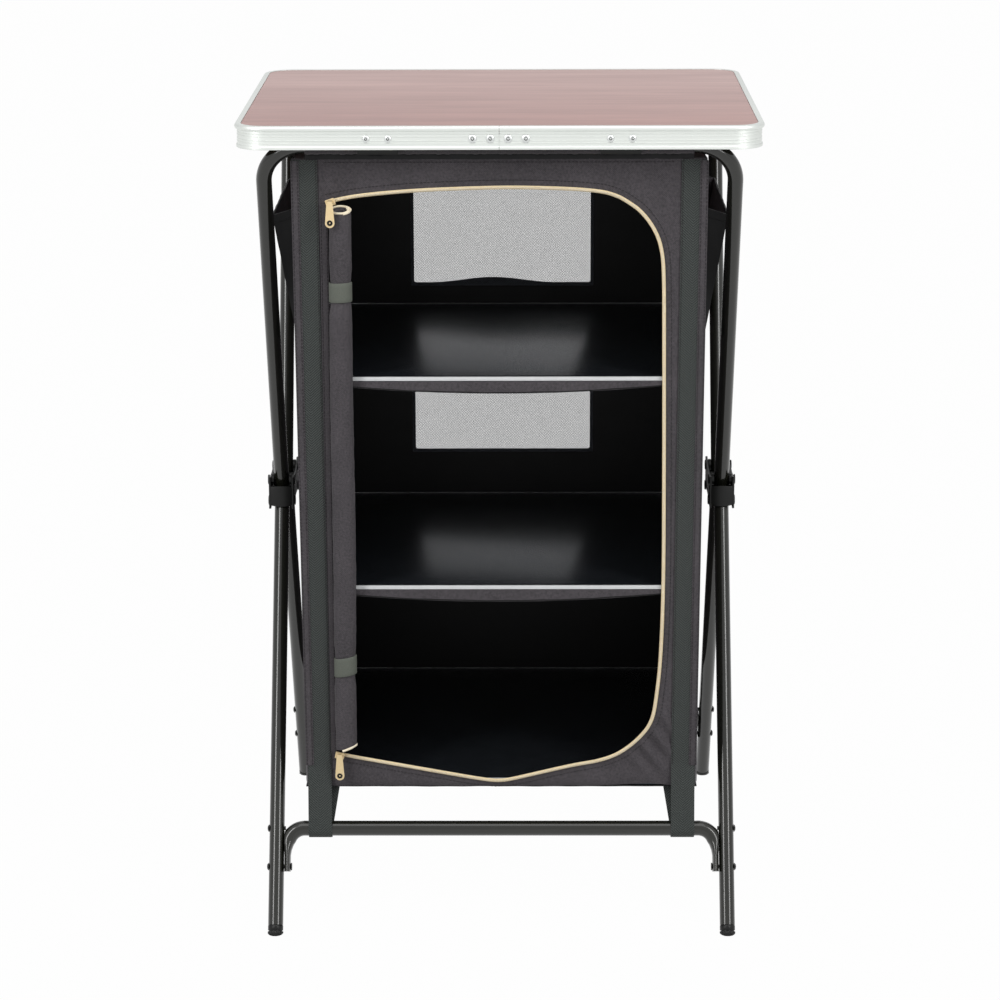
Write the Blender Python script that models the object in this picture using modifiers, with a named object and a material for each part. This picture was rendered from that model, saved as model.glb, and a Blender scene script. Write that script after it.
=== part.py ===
"""A folding camp kitchen cupboard: a rimmed table top on two hubbed X frames, with a fabric cabinet.

Metres, +Z up. The front faces -Y. The origin is on the ground, in the middle of the four feet.
Each half frame is pinned in two side hubs, and the cabinet hangs from the two top bars.
"""
from math import atan2, cos, hypot, pi, radians, sin, tan

import bmesh
import bpy
from mathutils import Vector

# Clearances and fabric
GAP = 0.0003
CUT_OVERRUN = 0.002
WELD_DISTANCE = 0.00001
FABRIC = 0.0012

# Fabric cabinet
CABINET_WIDTH = 0.470
CABINET_DEPTH = 0.429
CABINET_BOTTOM = 0.1615
CABINET_TOP_DROP = 0.007
SLING_SAG = 0.013
SLEEVE_WALL = 0.0010

# Boards in the cabinet
SHELF_THICKNESS = 0.005
BASE_BOARD_THICKNESS = 0.009
UPPER_SHELF_SHARE = 0.6642
LOWER_SHELF_SHARE = 0.3318

# Tubes and hubs
TUBE_RADIUS = 0.009
TUBE_WALL = 0.0012
SIDE_SPACE = 0.025
TOP_BEND_RADIUS = 0.048
BAR_SETBACK = 0.0035
TOP_BAR_DROP = 0.026
FOOT_STANDS_OUT = 0.0625
HUB_HEIGHT = 0.482
HUB_PIN_SPREAD = 0.070
HUB_PIN_RISE = 0.026
HUB_LENGTH = 0.101
HUB_PLATE_HEIGHT = 0.040
HUB_WAIST_HEIGHT = 0.027
HUB_PLATE = 0.0058
HUB_WALL = 0.003
HUB_WALL_RISE = 0.0075
HUB_WALL_DROP = 0.0165
HUB_CORE_LENGTH = 0.040
PIN_RADIUS = 0.003
PIN_HEAD_RADIUS = 0.0062
PIN_HEAD_HEIGHT = 0.0018
TUBE_END_ROOM = 0.0085

# Low bars between the legs
LOW_BAR_HEIGHT = 0.111
LOW_BEND_RADIUS = 0.020
LOW_BAR_TAIL = 0.052
CRUSHED_THICKNESS = 0.0078
CRUSH_LENGTH = 0.014
RIVET_PITCH = 0.046
RIVET_RADIUS = 0.0024
RIVET_HEAD_RADIUS = 0.0045
RIVET_HEAD_HEIGHT = 0.0022

# Feet
FOOT_SOLE = 0.004
FOOT_SPIGOT = 0.018
FOOT_COLLAR = 0.0062
FOOT_GROOVE = 0.0010
FOOT_GROOVE_DEPTH = 0.0012

# Table top
TABLE_HEIGHT = 0.960
TABLE_SIDE_OVERHANG = 0.022
TABLE_END_OVERHANG = 0.032
CORNER_RADIUS = 0.036
BOARD_THICKNESS = 0.008
RIM_HEIGHT = 0.0270
RIM_PROUD = 0.0005
RIM_LIP_WIDTH = 0.0075
RIM_LIP_DEPTH = 0.0065
RIM_BEAD_PROUD = 0.0030
RIM_LOW_BEAD_PROUD = 0.0012
RIM_LOW_BEAD_DEPTH = 0.0045
RIM_WEB = 0.0016
RIM_LEDGE = 0.0060
RIM_LEDGE_WALL = 0.0012
RIM_SEAM = 0.0004
RIM_RIVET_DROP = 0.0145
RIM_RIVET_RADIUS = 0.0020
SPLICE_LENGTH = 0.078
SPLICE_THICKNESS = 0.0020
SPLICE_HEIGHT = 0.0130
SPLICE_RIVET_HEAD = 0.0047
SPLICE_RIVET_FIRST = 0.010
SPLICE_RIVET_PITCH = 0.020

# Clips under the table top
CLIP_SPREAD = 0.275
CLIP_LENGTH = 0.046
CLIP_WALL = 0.0026
CLIP_REACH = 0.012
CLIP_SHOULDER = 0.006
CLIP_LIP_ANGLE = radians(45)
CLIP_RIVET_PITCH = 0.0248
CLIP_RIVET_HEAD = 0.0041
CLIP_RIVET_DEPTH = 0.008

# Doorway, its zip, and the rolled-up door
DOOR_LEFT_TOP_INSET = 0.0374
DOOR_LEFT_LOW_INSET = 0.0305
DOOR_RIGHT_INSET = 0.0455
DOOR_SHOULDER_INSET = 0.085
DOOR_TOP_DROP = 0.035
DOOR_START_DROP = 0.0506
DOOR_FOOT_RISE = 0.0445
DOOR_DIP_RISE = 0.0055
DOOR_DIP_SIDE = 0.004
DOOR_RIGHT_FOOT_RISE = 0.0495
SHOULDER_RADIUS = 0.150
TOP_CORNER_RADIUS = 0.085
LOW_CORNER_RADIUS = 0.060
DIP_RADIUS = 0.050
ZIP_RADIUS = 0.0021
ROLL_TOP_RADIUS = 0.0128
ROLL_LOW_RADIUS = 0.0165
ROLL_TOP_INSET = 0.008
ROLL_LOW_INSET = 0.006
ROLL_PINCH = 0.0012
ROLL_FLATNESS = 0.65
ROLL_END_ROUND = 0.004
TAB_HEIGHT = 0.0225
TAB_THICKNESS = 0.0014
UPPER_TAB_SHARE = 0.7991
LOWER_TAB_SHARE = 0.2055

# Zip sliders and their pull tabs
SLIDER_LENGTH = 0.0110
SLIDER_WIDTH = 0.0080
SLIDER_THICKNESS = 0.0030
UPPER_SLIDER_START = 0.0055
LOWER_SLIDER_START = 0.0125
SLIDER_LUG_LENGTH = 0.0060
SLIDER_LUG_WIDTH = 0.0026
PULL_LENGTH = 0.0275
PULL_TOP_WIDTH = 0.0064
PULL_LOW_WIDTH = 0.0094
PULL_THICKNESS = 0.0015
PULL_HOLE_RADIUS = 0.0024
PULL_STANDOFF = 0.0025
UPPER_PULL_LEAN = radians(24)
LOWER_PULL_LEAN = radians(3)

# Windows in the back panel
WINDOW_WIDTH = 0.226
UPPER_WINDOW_LOW_SHARE = 0.6999
UPPER_WINDOW_TOP_SHARE = 0.9299
LOWER_WINDOW_LOW_SHARE = 0.4091
LOWER_WINDOW_TOP_SHARE = 0.5796
WINDOW_CORNER = 0.012
WINDOW_SEAM = 0.008
MESH_THICKNESS = 0.0008

# Corner straps
STRAP_WIDTH = 0.028
STRAP_THICKNESS = 0.0015
STRAP_INSET = 0.001
STRAP_LEAVES_RISE = 0.0285
STRAP_BACK_INSET = 0.010

# Side pockets
POCKET_LENGTH = 0.260
POCKET_TOP_SHARE = 0.8943
POCKET_LOW_SHARE = 0.6801
POCKET_MOUTH = 0.0235
POCKET_INNER_RISE = 0.006

# What follows from the sizes above
HALF_WIDTH = CABINET_WIDTH / 2
HALF_DEPTH = CABINET_DEPTH / 2
LEG_X = HALF_WIDTH + SIDE_SPACE + TUBE_RADIUS
TOP_BAR_Y = HALF_DEPTH + BAR_SETBACK
TOP_BAR_HEIGHT = TABLE_HEIGHT - TOP_BAR_DROP
CABINET_TOP = TOP_BAR_HEIGHT - TUBE_RADIUS - CABINET_TOP_DROP
CABINET_HEIGHT = CABINET_TOP - CABINET_BOTTOM
UPPER_SHELF_TOP = CABINET_BOTTOM + CABINET_HEIGHT * UPPER_SHELF_SHARE
LOWER_SHELF_TOP = CABINET_BOTTOM + CABINET_HEIGHT * LOWER_SHELF_SHARE
UPPER_TAB_HEIGHT = CABINET_BOTTOM + CABINET_HEIGHT * UPPER_TAB_SHARE
LOWER_TAB_HEIGHT = CABINET_BOTTOM + CABINET_HEIGHT * LOWER_TAB_SHARE
POCKET_TOP = CABINET_BOTTOM + CABINET_HEIGHT * POCKET_TOP_SHARE
POCKET_LOW = CABINET_BOTTOM + CABINET_HEIGHT * POCKET_LOW_SHARE
DOOR_LEFT_TOP = HALF_WIDTH - DOOR_LEFT_TOP_INSET
DOOR_LEFT_LOW = HALF_WIDTH - DOOR_LEFT_LOW_INSET
DOOR_RIGHT = HALF_WIDTH - DOOR_RIGHT_INSET
DOOR_TOP = CABINET_TOP - DOOR_TOP_DROP
DOOR_START_HEIGHT = CABINET_TOP - DOOR_START_DROP
DOOR_FOOT_HEIGHT = CABINET_BOTTOM + DOOR_FOOT_RISE
DOOR_DIP = CABINET_BOTTOM + DOOR_DIP_RISE
DOOR_RIGHT_FOOT = CABINET_BOTTOM + DOOR_RIGHT_FOOT_RISE
BASE_BOARD_TOP = CABINET_BOTTOM + FABRIC + GAP + BASE_BOARD_THICKNESS
TABLE_HALF_X = LEG_X + TUBE_RADIUS + TABLE_SIDE_OVERHANG
TABLE_HALF_Y = TOP_BAR_Y + TABLE_END_OVERHANG
BOARD_LOW = TABLE_HEIGHT - RIM_PROUD - BOARD_THICKNESS
PIN_Y = HUB_PIN_SPREAD / 2
UPPER_PIN_Z = HUB_HEIGHT + HUB_PIN_RISE / 2
LOWER_PIN_Z = HUB_HEIGHT - HUB_PIN_RISE / 2
FOOT_Y = HALF_DEPTH + FOOT_STANDS_OUT
UPPER_LEAN = atan2(TOP_BAR_Y - PIN_Y, TOP_BAR_HEIGHT - UPPER_PIN_Z)
LOWER_LEAN = atan2(FOOT_Y - PIN_Y, LOWER_PIN_Z)
UPPER_LENGTH = hypot(TOP_BAR_Y - PIN_Y, TOP_BAR_HEIGHT - UPPER_PIN_Z)
LOWER_LENGTH = hypot(FOOT_Y - PIN_Y, LOWER_PIN_Z)
LOW_BAR_Y = PIN_Y + (LOWER_PIN_Z - LOW_BAR_HEIGHT) * tan(LOWER_LEAN)
SLEEVE_INNER = TUBE_RADIUS + GAP
SLEEVE_OUTER = SLEEVE_INNER + SLEEVE_WALL
CLIP_BORE = SLEEVE_OUTER + GAP
ZIP_Y = HALF_DEPTH + GAP + ZIP_RADIUS
SIDES = {"left": -1, "right": 1}
ENDS = {"front": -1, "back": 1}

# How finely round shapes are faceted
TUBE_SIDES_RESOLUTION = 4
ARC_STEPS = 8
TURN_STEPS = 14


def clear_scene():
    for item in list(bpy.data.objects):
        bpy.data.objects.remove(item, do_unlink=True)


def new_collection(name):
    collection = bpy.data.collections.new(name)
    bpy.context.scene.collection.children.link(collection)
    return collection


def make_material(name, colour, roughness, metallic=0.0):
    material = bpy.data.materials.new(name)
    material.use_nodes = True
    shader = material.node_tree.nodes["Principled BSDF"]
    shader.inputs["Base Color"].default_value = (*colour, 1.0)
    shader.inputs["Roughness"].default_value = roughness
    shader.inputs["Metallic"].default_value = metallic
    return material


clear_scene()
PARTS = new_collection("camp_kitchen_cupboard")
CUTTERS = new_collection("cutters")

COLOURS = {
    "laminate": ((0.50, 0.28, 0.25), 0.35, 0.0),
    "aluminium": ((0.80, 0.81, 0.80), 0.35, 1.0),
    "painted_steel": ((0.055, 0.060, 0.050), 0.30, 0.6),
    "black_plastic": ((0.015, 0.015, 0.015), 0.40, 0.0),
    "fabric": ((0.065, 0.058, 0.062), 0.90, 0.0),
    "webbing": ((0.050, 0.062, 0.058), 0.85, 0.0),
    "tie_webbing": ((0.16, 0.17, 0.15), 0.85, 0.0),
    "window_mesh": ((0.50, 0.52, 0.55), 0.80, 0.0),
    "shelf_board": ((0.020, 0.022, 0.025), 0.25, 0.0),
    "zip_tape": ((0.72, 0.58, 0.33), 0.60, 0.0),
}
FINISHES = {}


def finish(part, slot):
    """Each part gets its own copy of a finish, named for the part."""
    colour, roughness, metallic = COLOURS[slot]
    material = make_material(part.name, colour, roughness, metallic)
    part.data.materials.clear()
    part.data.materials.append(material)


def put(part, collection=PARTS):
    for owner in list(part.users_collection):
        owner.objects.unlink(part)
    collection.objects.link(part)
    return part


def pivot(name, place):
    """An empty on a joint's axis, for the pieces that move with it."""
    empty = bpy.data.objects.new(name, None)
    empty.location = place
    PARTS.objects.link(empty)
    return empty


def carry(part, empty):
    part.parent = empty
    part.location = Vector(part.location) - empty.location
    return part


def guide(part):
    put(part, CUTTERS)
    part.hide_render = True
    part.display_type = "WIRE"
    return part


def as_mesh(part):
    """Turns a curve into a closed mesh in the same place."""
    bpy.context.view_layer.update()
    shape = part.evaluated_get(bpy.context.evaluated_depsgraph_get())
    mesh = bpy.data.meshes.new_from_object(shape)
    body = bmesh.new()
    body.from_mesh(mesh)
    bmesh.ops.remove_doubles(body, verts=body.verts, dist=WELD_DISTANCE)
    bmesh.ops.recalc_face_normals(body, faces=body.faces)
    body.to_mesh(mesh)
    body.free()
    name = part.name
    solid = bpy.data.objects.new(name + "_mesh", mesh)
    solid.matrix_world = part.matrix_world
    PARTS.objects.link(solid)
    bpy.data.objects.remove(part, do_unlink=True)
    solid.name = name
    return solid


def from_bmesh(name, body):
    mesh = bpy.data.meshes.new(name)
    bmesh.ops.recalc_face_normals(body, faces=body.faces)
    body.to_mesh(mesh)
    body.free()
    part = bpy.data.objects.new(name, mesh)
    PARTS.objects.link(part)
    return part


def boolean(part, tool, operation="DIFFERENCE"):
    guide(tool)
    step = part.modifiers.new(tool.name, "BOOLEAN")
    step.operation = operation
    step.solver = "EXACT"
    step.object = tool
    return part


TURNS = {
    "XY": (0.0, 0.0, 0.0),
    "XZ": (pi / 2, 0.0, 0.0),
    "YZ": (pi / 2, 0.0, pi / 2),
}


def sheet(name, outlines, thickness, plane, centre=(0.0, 0.0, 0.0)):
    """A flat outline, with any holes after it, thickened evenly about its plane."""
    curve = bpy.data.curves.new(name, "CURVE")
    curve.dimensions = "2D"
    curve.fill_mode = "BOTH"
    curve.extrude = thickness / 2
    for outline in outlines:
        spline = curve.splines.new("POLY")
        spline.points.add(len(outline) - 1)
        for point, (across, up) in zip(spline.points, outline):
            point.co = (across, up, 0.0, 1.0)
        spline.use_cyclic_u = True
    part = bpy.data.objects.new(name, curve)
    part.rotation_euler = TURNS[plane]
    part.location = centre
    PARTS.objects.link(part)
    return part


def tube(name, points, radius, resolution=TUBE_SIDES_RESOLUTION, wall=None):
    """A round tube along points; with a wall it is open at both ends."""
    curve = bpy.data.curves.new(name, "CURVE")
    curve.dimensions = "3D"
    curve.bevel_depth = radius
    curve.bevel_resolution = resolution
    curve.use_fill_caps = wall is None
    spline = curve.splines.new("POLY")
    spline.points.add(len(points) - 1)
    for point, place in zip(spline.points, points):
        point.co = (*place, 1.0)
    part = bpy.data.objects.new(name, curve)
    PARTS.objects.link(part)
    if wall is not None:
        shell = part.modifiers.new("wall", "SOLIDIFY")
        shell.thickness = wall
        shell.offset = -1.0
        shell.use_even_offset = True
    return part


def box(name, low, high):
    body = bmesh.new()
    bmesh.ops.create_cube(body, size=1.0)
    for corner in body.verts:
        corner.co = [(a + b) / 2 + c * (b - a) for a, b, c in zip(low, high, corner.co)]
    return from_bmesh(name, body)


def rod(name, radius, start, end, steps=TURN_STEPS):
    """A solid cylinder between two points."""
    start, end = Vector(start), Vector(end)
    body = bmesh.new()
    bmesh.ops.create_cone(body, cap_ends=True, segments=steps, radius1=radius, radius2=radius,
                          depth=(end - start).length)
    turn = (end - start).to_track_quat("Z", "Y").to_matrix()
    bmesh.ops.rotate(body, verts=body.verts, cent=(0.0, 0.0, 0.0), matrix=turn)
    bmesh.ops.translate(body, verts=body.verts, vec=(start + end) / 2)
    return from_bmesh(name, body)


def turned(name, profile, place, axis, steps=TURN_STEPS):
    """A profile of (radius, height) points, turned about its height axis and laid along axis."""
    body = bmesh.new()
    corners = [body.verts.new((radius, 0.0, height)) for radius, height in profile]
    for first, second in zip(corners, corners[1:]):
        body.edges.new((first, second))
    mesh = bpy.data.meshes.new(name)
    body.to_mesh(mesh)
    body.free()
    part = bpy.data.objects.new(name, mesh)
    part.rotation_mode = "QUATERNION"
    part.rotation_quaternion = Vector(axis).to_track_quat("Z", "Y")
    part.location = place
    PARTS.objects.link(part)
    screw = part.modifiers.new("turn", "SCREW")
    screw.axis = "Z"
    screw.steps = steps
    screw.render_steps = steps
    screw.use_merge_vertices = True
    screw.merge_threshold = WELD_DISTANCE
    screw.use_normal_calculate = True
    turn = sum(a[0] * b[1] - b[0] * a[1] for a, b in zip(profile, profile[1:]))
    screw.use_normal_flip = turn < 0
    return part


def arc(centre, radius, start, end, steps=ARC_STEPS):
    """Points on an arc, both ends included."""
    turn = (end - start) / steps
    return [(centre[0] + radius * cos(start + turn * i), centre[1] + radius * sin(start + turn * i))
            for i in range(steps + 1)]


def rounded(corners):
    """A closed or open outline whose (x, y, radius) corners are replaced by arcs."""
    points = []
    for index, (x, y, radius) in enumerate(corners):
        if radius == 0.0:
            points.append((x, y))
            continue
        here = Vector((x, y))
        before = (Vector(corners[index - 1][:2]) - here).normalized()
        after = (Vector(corners[(index + 1) % len(corners)][:2]) - here).normalized()
        half = before.angle(after) / 2
        centre = here + (before + after).normalized() * (radius / sin(half))
        start = here + before * (radius / tan(half)) - centre
        end = here + after * (radius / tan(half)) - centre
        first = atan2(start.y, start.x)
        sweep = (atan2(end.y, end.x) - first + pi) % (2 * pi) - pi
        points += arc(centre, radius, first, first + sweep)
    return points


def rectangle(low_x, low_y, high_x, high_y, radius=0.0):
    return rounded([(low_x, low_y, radius), (high_x, low_y, radius),
                    (high_x, high_y, radius), (low_x, high_y, radius)])


def ribbon(path, thickness):
    """The outline of a strip of even thickness along an open path."""
    one, other = [], []
    for index, point in enumerate(path):
        here = Vector(point)
        before = Vector(path[max(index - 1, 0)])
        after = Vector(path[min(index + 1, len(path) - 1)])
        into = (here - before).normalized() if index else (after - here).normalized()
        away = (after - here).normalized() if index < len(path) - 1 else into
        along = (into + away).normalized()
        side = Vector((-along.y, along.x)) * (thickness / 2) / max(into.dot(along), 0.5)
        one.append(tuple(here + side))
        other.append(tuple(here - side))
    return one + other[::-1]


def add(part, slot, empty):
    finish(part, slot)
    carry(part, empty)
    return part


# Joint pivots
HUBS = pivot("hubs_pivot", (0.0, 0.0, HUB_HEIGHT))
TABLE = pivot("table_top_pivot", (0.0, 0.0, TABLE_HEIGHT))
CABINET = pivot("cabinet_pivot", (0.0, 0.0, CABINET_BOTTOM))
UPPER = {end: pivot("upper_" + end + "_pivot", (0.0, side * PIN_Y, UPPER_PIN_Z)) for end, side in ENDS.items()}
LOWER = {end: pivot("lower_" + end + "_pivot", (0.0, side * PIN_Y, LOWER_PIN_Z)) for end, side in ENDS.items()}
HANGER = {end: pivot("cabinet_" + end + "_pivot", (0.0, side * TOP_BAR_Y, TOP_BAR_HEIGHT))
          for end, side in ENDS.items()}


def make_table_board():
    inset = RIM_LIP_WIDTH + GAP
    half_x = TABLE_HALF_X - inset
    half_y = TABLE_HALF_Y - inset
    outline = rectangle(-half_x, -half_y, half_x, half_y, CORNER_RADIUS - inset)
    board = sheet("tabletop_board", [outline], BOARD_THICKNESS, "XY", (0.0, 0.0, BOARD_LOW + BOARD_THICKNESS / 2))
    add(board, "laminate", TABLE)


def rim_profile():
    """The rim's section as (outward, up) from its outermost top corner, anticlockwise."""
    web_out = -RIM_BEAD_PROUD
    web_in = web_out - RIM_WEB
    ledge_top = -(RIM_PROUD + BOARD_THICKNESS + GAP)
    ledge_low = ledge_top - RIM_LEDGE_WALL
    ledge_end = -(RIM_LIP_WIDTH + RIM_LEDGE)
    bead = RIM_BEAD_PROUD
    low_bead = web_out + RIM_LOW_BEAD_PROUD
    upper = [(web_out, -RIM_LIP_DEPTH), (-bead / 4, -RIM_LIP_DEPTH + bead / 3), (0.0, -RIM_LIP_DEPTH + bead),
             (-bead / 3, -bead / 4), (-bead, 0.0), (-RIM_LIP_WIDTH, 0.0), (-RIM_LIP_WIDTH, -RIM_LIP_DEPTH)]
    inner = [(web_in, -RIM_LIP_DEPTH), (web_in, ledge_top), (ledge_end, ledge_top), (ledge_end, ledge_low),
             (web_in, ledge_low), (web_in, -RIM_HEIGHT)]
    lower = [(low_bead, -RIM_HEIGHT), (low_bead, RIM_LOW_BEAD_DEPTH - RIM_HEIGHT),
             (web_out, RIM_LOW_BEAD_DEPTH + RIM_LOW_BEAD_PROUD - RIM_HEIGHT)]
    return upper + inner + lower


def rim_outline(offset):
    half_x = TABLE_HALF_X + offset
    half_y = TABLE_HALF_Y + offset
    return rectangle(-half_x, -half_y, half_x, half_y, CORNER_RADIUS + offset)


def make_rim():
    """The section is carried round the table top: one ring of corners for each point of it."""
    body = bmesh.new()
    rings = [[body.verts.new((x, y, TABLE_HEIGHT + up)) for x, y in rim_outline(outward)]
             for outward, up in rim_profile()]
    for ring, following in zip(rings, rings[1:] + rings[:1]):
        for index in range(len(ring)):
            after = (index + 1) % len(ring)
            body.faces.new((ring[index], ring[after], following[after], following[index]))
    rim = from_bmesh("tabletop_rim", body)
    front = -TABLE_HALF_Y
    reach = RIM_LIP_WIDTH + RIM_LEDGE + CUT_OVERRUN
    seam = box("rim_seam_cut", (-RIM_SEAM / 2, front - CUT_OVERRUN, TABLE_HEIGHT - RIM_HEIGHT - CUT_OVERRUN),
               (RIM_SEAM / 2, front + reach, TABLE_HEIGHT + CUT_OVERRUN))
    boolean(rim, seam)
    for index, x in enumerate(splice_rivet_places() + clip_rivet_places()):
        hole = rod("rim_rivet_cut_" + str(index), RIM_RIVET_RADIUS + GAP,
                   (x, front - CUT_OVERRUN, rim_rivet_height()),
                   (x, front + RIM_BEAD_PROUD + RIM_WEB + CUT_OVERRUN, rim_rivet_height()))
        boolean(rim, hole)
    add(rim, "aluminium", TABLE)


def rim_rivet_height():
    return TABLE_HEIGHT - RIM_RIVET_DROP


def splice_rivet_places():
    near = SPLICE_RIVET_FIRST
    far = SPLICE_RIVET_FIRST + SPLICE_RIVET_PITCH
    return [-far, -near, near, far]


def clip_rivet_places():
    return [side * CLIP_SPREAD / 2 + step * CLIP_RIVET_PITCH / 2 for side in (-1, 1) for step in (-1, 1)]


def web_inner_y():
    return TABLE_HALF_Y - RIM_BEAD_PROUD - RIM_WEB


def make_splice():
    outer = -web_inner_y() + GAP
    centre_z = rim_rivet_height() - (RIM_LEDGE_WALL + GAP) / 2
    top = min(centre_z + SPLICE_HEIGHT / 2, BOARD_LOW - GAP - RIM_LEDGE_WALL - GAP)
    plate = box("rim_splice_plate", (-SPLICE_LENGTH / 2, outer, top - SPLICE_HEIGHT),
                (SPLICE_LENGTH / 2, outer + SPLICE_THICKNESS, top))
    for index, x in enumerate(splice_rivet_places()):
        hole = rod("splice_cut_" + str(index), RIM_RIVET_RADIUS + GAP, (x, outer - CUT_OVERRUN, rim_rivet_height()),
                   (x, outer + SPLICE_THICKNESS + CUT_OVERRUN, rim_rivet_height()))
        boolean(plate, hole)
    add(plate, "aluminium", TABLE)
    for index, x in enumerate(splice_rivet_places()):
        tail = outer + SPLICE_THICKNESS + GAP
        make_rim_rivet("splice_rivet_" + str(index + 1), x, SPLICE_RIVET_HEAD, tail, RIM_RIVET_RADIUS * 1.6)


def make_rim_rivet(name, x, head, end_y, tail_radius):
    """A domed rivet from the front of the rim, spread behind what it holds where there is room."""
    face = -TABLE_HALF_Y + RIM_BEAD_PROUD - GAP
    length = end_y - face
    dome = RIM_BEAD_PROUD / 2
    profile = [(0.0, dome), (head * 0.6, dome * 0.8), (head, dome * 0.2), (head, 0.0), (RIM_RIVET_RADIUS, 0.0),
               (RIM_RIVET_RADIUS, -length)]
    if tail_radius > RIM_RIVET_RADIUS:
        profile += [(tail_radius, -length), (tail_radius, -length - dome / 2), (0.0, -length - dome)]
    else:
        profile += [(0.0, -length)]
    rivet = turned(name, profile, (x, face, rim_rivet_height()), (0.0, -1.0, 0.0), steps=12)
    add(rivet, "aluminium", TABLE)


def clip_outline(side):
    """A hooked block: its shoulder meets the rim, its pad carries the board and its lip holds the bar."""
    bar = (TOP_BAR_Y, TOP_BAR_HEIGHT)
    outer_y = web_inner_y() - GAP
    ledge_y = TABLE_HALF_Y - RIM_LIP_WIDTH - RIM_LEDGE - GAP
    under_ledge = BOARD_LOW - GAP - RIM_LEDGE_WALL - GAP
    back = CLIP_BORE + CLIP_WALL
    low = rim_rivet_height() - CLIP_SHOULDER
    jaw = arc(bar, CLIP_BORE, pi / 2, -CLIP_LIP_ANGLE)
    shell = arc(bar, back, -CLIP_LIP_ANGLE, 0.0, ARC_STEPS // 2)
    points = [(TOP_BAR_Y - CLIP_REACH, BOARD_LOW - GAP), (TOP_BAR_Y - CLIP_REACH, TOP_BAR_HEIGHT + CLIP_BORE)]
    points += jaw + shell + [(TOP_BAR_Y + back, low), (outer_y, low), (outer_y, under_ledge),
                             (ledge_y, under_ledge), (ledge_y, BOARD_LOW - GAP)]
    return [(side * y, z) for y, z in points]


def make_clips():
    for end, side in ENDS.items():
        for hand, across in SIDES.items():
            name = end + "_clip_" + hand
            x = across * CLIP_SPREAD / 2
            clip = as_mesh(sheet(name, [clip_outline(side)], CLIP_LENGTH, "YZ", (x, 0.0, 0.0)))
            if end == "front":
                for index, step in enumerate((-1, 1)):
                    place = x + step * CLIP_RIVET_PITCH / 2
                    mouth = -web_inner_y()
                    hole = rod(name + "_cut_" + str(index), RIM_RIVET_RADIUS + GAP,
                               (place, mouth - CUT_OVERRUN, rim_rivet_height()),
                               (place, mouth + CLIP_RIVET_DEPTH + 2 * GAP, rim_rivet_height()))
                    boolean(clip, hole)
            add(clip, "black_plastic", TABLE)
    names = [hand + "_" + which for hand in SIDES for which in ("first", "second")]
    for name, x in zip(names, clip_rivet_places()):
        make_rim_rivet("clip_rivet_" + name, x, CLIP_RIVET_HEAD, -web_inner_y() + CLIP_RIVET_DEPTH, 0.0)


def make_upper_frames():
    """Each is one bent tube: two legs up from the hub pins and the bar across the top."""
    for end, side in ENDS.items():
        base = Vector((0.0, side * PIN_Y, UPPER_PIN_Z))
        along = Vector((0.0, side * sin(UPPER_LEAN), cos(UPPER_LEAN)))
        bend = arc((LEG_X - TOP_BEND_RADIUS, UPPER_LENGTH - TOP_BEND_RADIUS), TOP_BEND_RADIUS, 0.0, pi / 2)
        half = [(LEG_X, -TUBE_END_ROOM)] + bend
        flat = half + [(-x, up) for x, up in reversed(half)]
        points = [Vector((x, 0.0, 0.0)) + base + along * up for x, up in flat]
        name = "upper_" + end + "_tube"
        frame = as_mesh(tube(name, points, TUBE_RADIUS, wall=TUBE_WALL))
        for hand, across in SIDES.items():
            reach = TUBE_RADIUS + CUT_OVERRUN
            hole = rod(name + "_pin_cut_" + hand, PIN_RADIUS + GAP, (across * LEG_X - reach, base.y, base.z),
                       (across * LEG_X + reach, base.y, base.z))
            boolean(frame, hole)
        add(frame, "painted_steel", UPPER[end])


def leg_point(side, down):
    """A place on a lower leg's axis, so far down from the hub pin."""
    return Vector((0.0, side * (PIN_Y + down * sin(LOWER_LEAN)), LOWER_PIN_Z - down * cos(LOWER_LEAN)))


def low_bar_down():
    return (LOWER_PIN_Z - LOW_BAR_HEIGHT) / cos(LOWER_LEAN)


def rivet_downs():
    return [low_bar_down(), low_bar_down() + RIVET_PITCH]


def make_legs():
    for end, side in ENDS.items():
        for hand, across in SIDES.items():
            x = Vector((across * LEG_X, 0.0, 0.0))
            name = "lower_" + end + "_leg_" + hand
            sole = (FOOT_SOLE + GAP + TUBE_RADIUS * sin(LOWER_LEAN)) / cos(LOWER_LEAN)
            ends = [leg_point(side, -TUBE_END_ROOM) + x, leg_point(side, LOWER_LENGTH - sole) + x]
            leg = as_mesh(tube(name, ends, TUBE_RADIUS, wall=TUBE_WALL))
            reach = TUBE_RADIUS + CUT_OVERRUN
            cuts = [(0.0, PIN_RADIUS)] + [(down, RIVET_RADIUS) for down in rivet_downs()]
            for index, (down, radius) in enumerate(cuts):
                place = leg_point(side, down)
                hole = rod(name + "_cut_" + str(index), radius + GAP, (x.x - reach, place.y, place.z),
                           (x.x + reach, place.y, place.z))
                boolean(leg, hole)
            add(leg, "painted_steel", LOWER[end])
            make_foot(end, side, hand, across)


def foot_profile():
    """Down the spigot that fits in the tube, out to the collar under its end, round the groove and under the sole."""
    spigot = TUBE_RADIUS - TUBE_WALL - 2 * GAP
    neck = TUBE_RADIUS - FOOT_GROOVE_DEPTH
    low = -FOOT_COLLAR - FOOT_GROOVE
    floor = low - FOOT_SOLE - 2 * TUBE_RADIUS * tan(LOWER_LEAN)
    points = [(0.0, FOOT_SPIGOT), (spigot, FOOT_SPIGOT), (spigot, 0.0), (TUBE_RADIUS, 0.0),
              (TUBE_RADIUS, -FOOT_COLLAR), (neck, -FOOT_COLLAR), (neck, low), (TUBE_RADIUS, low),
              (TUBE_RADIUS, floor), (0.0, floor)]
    return points[::-1]


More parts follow.
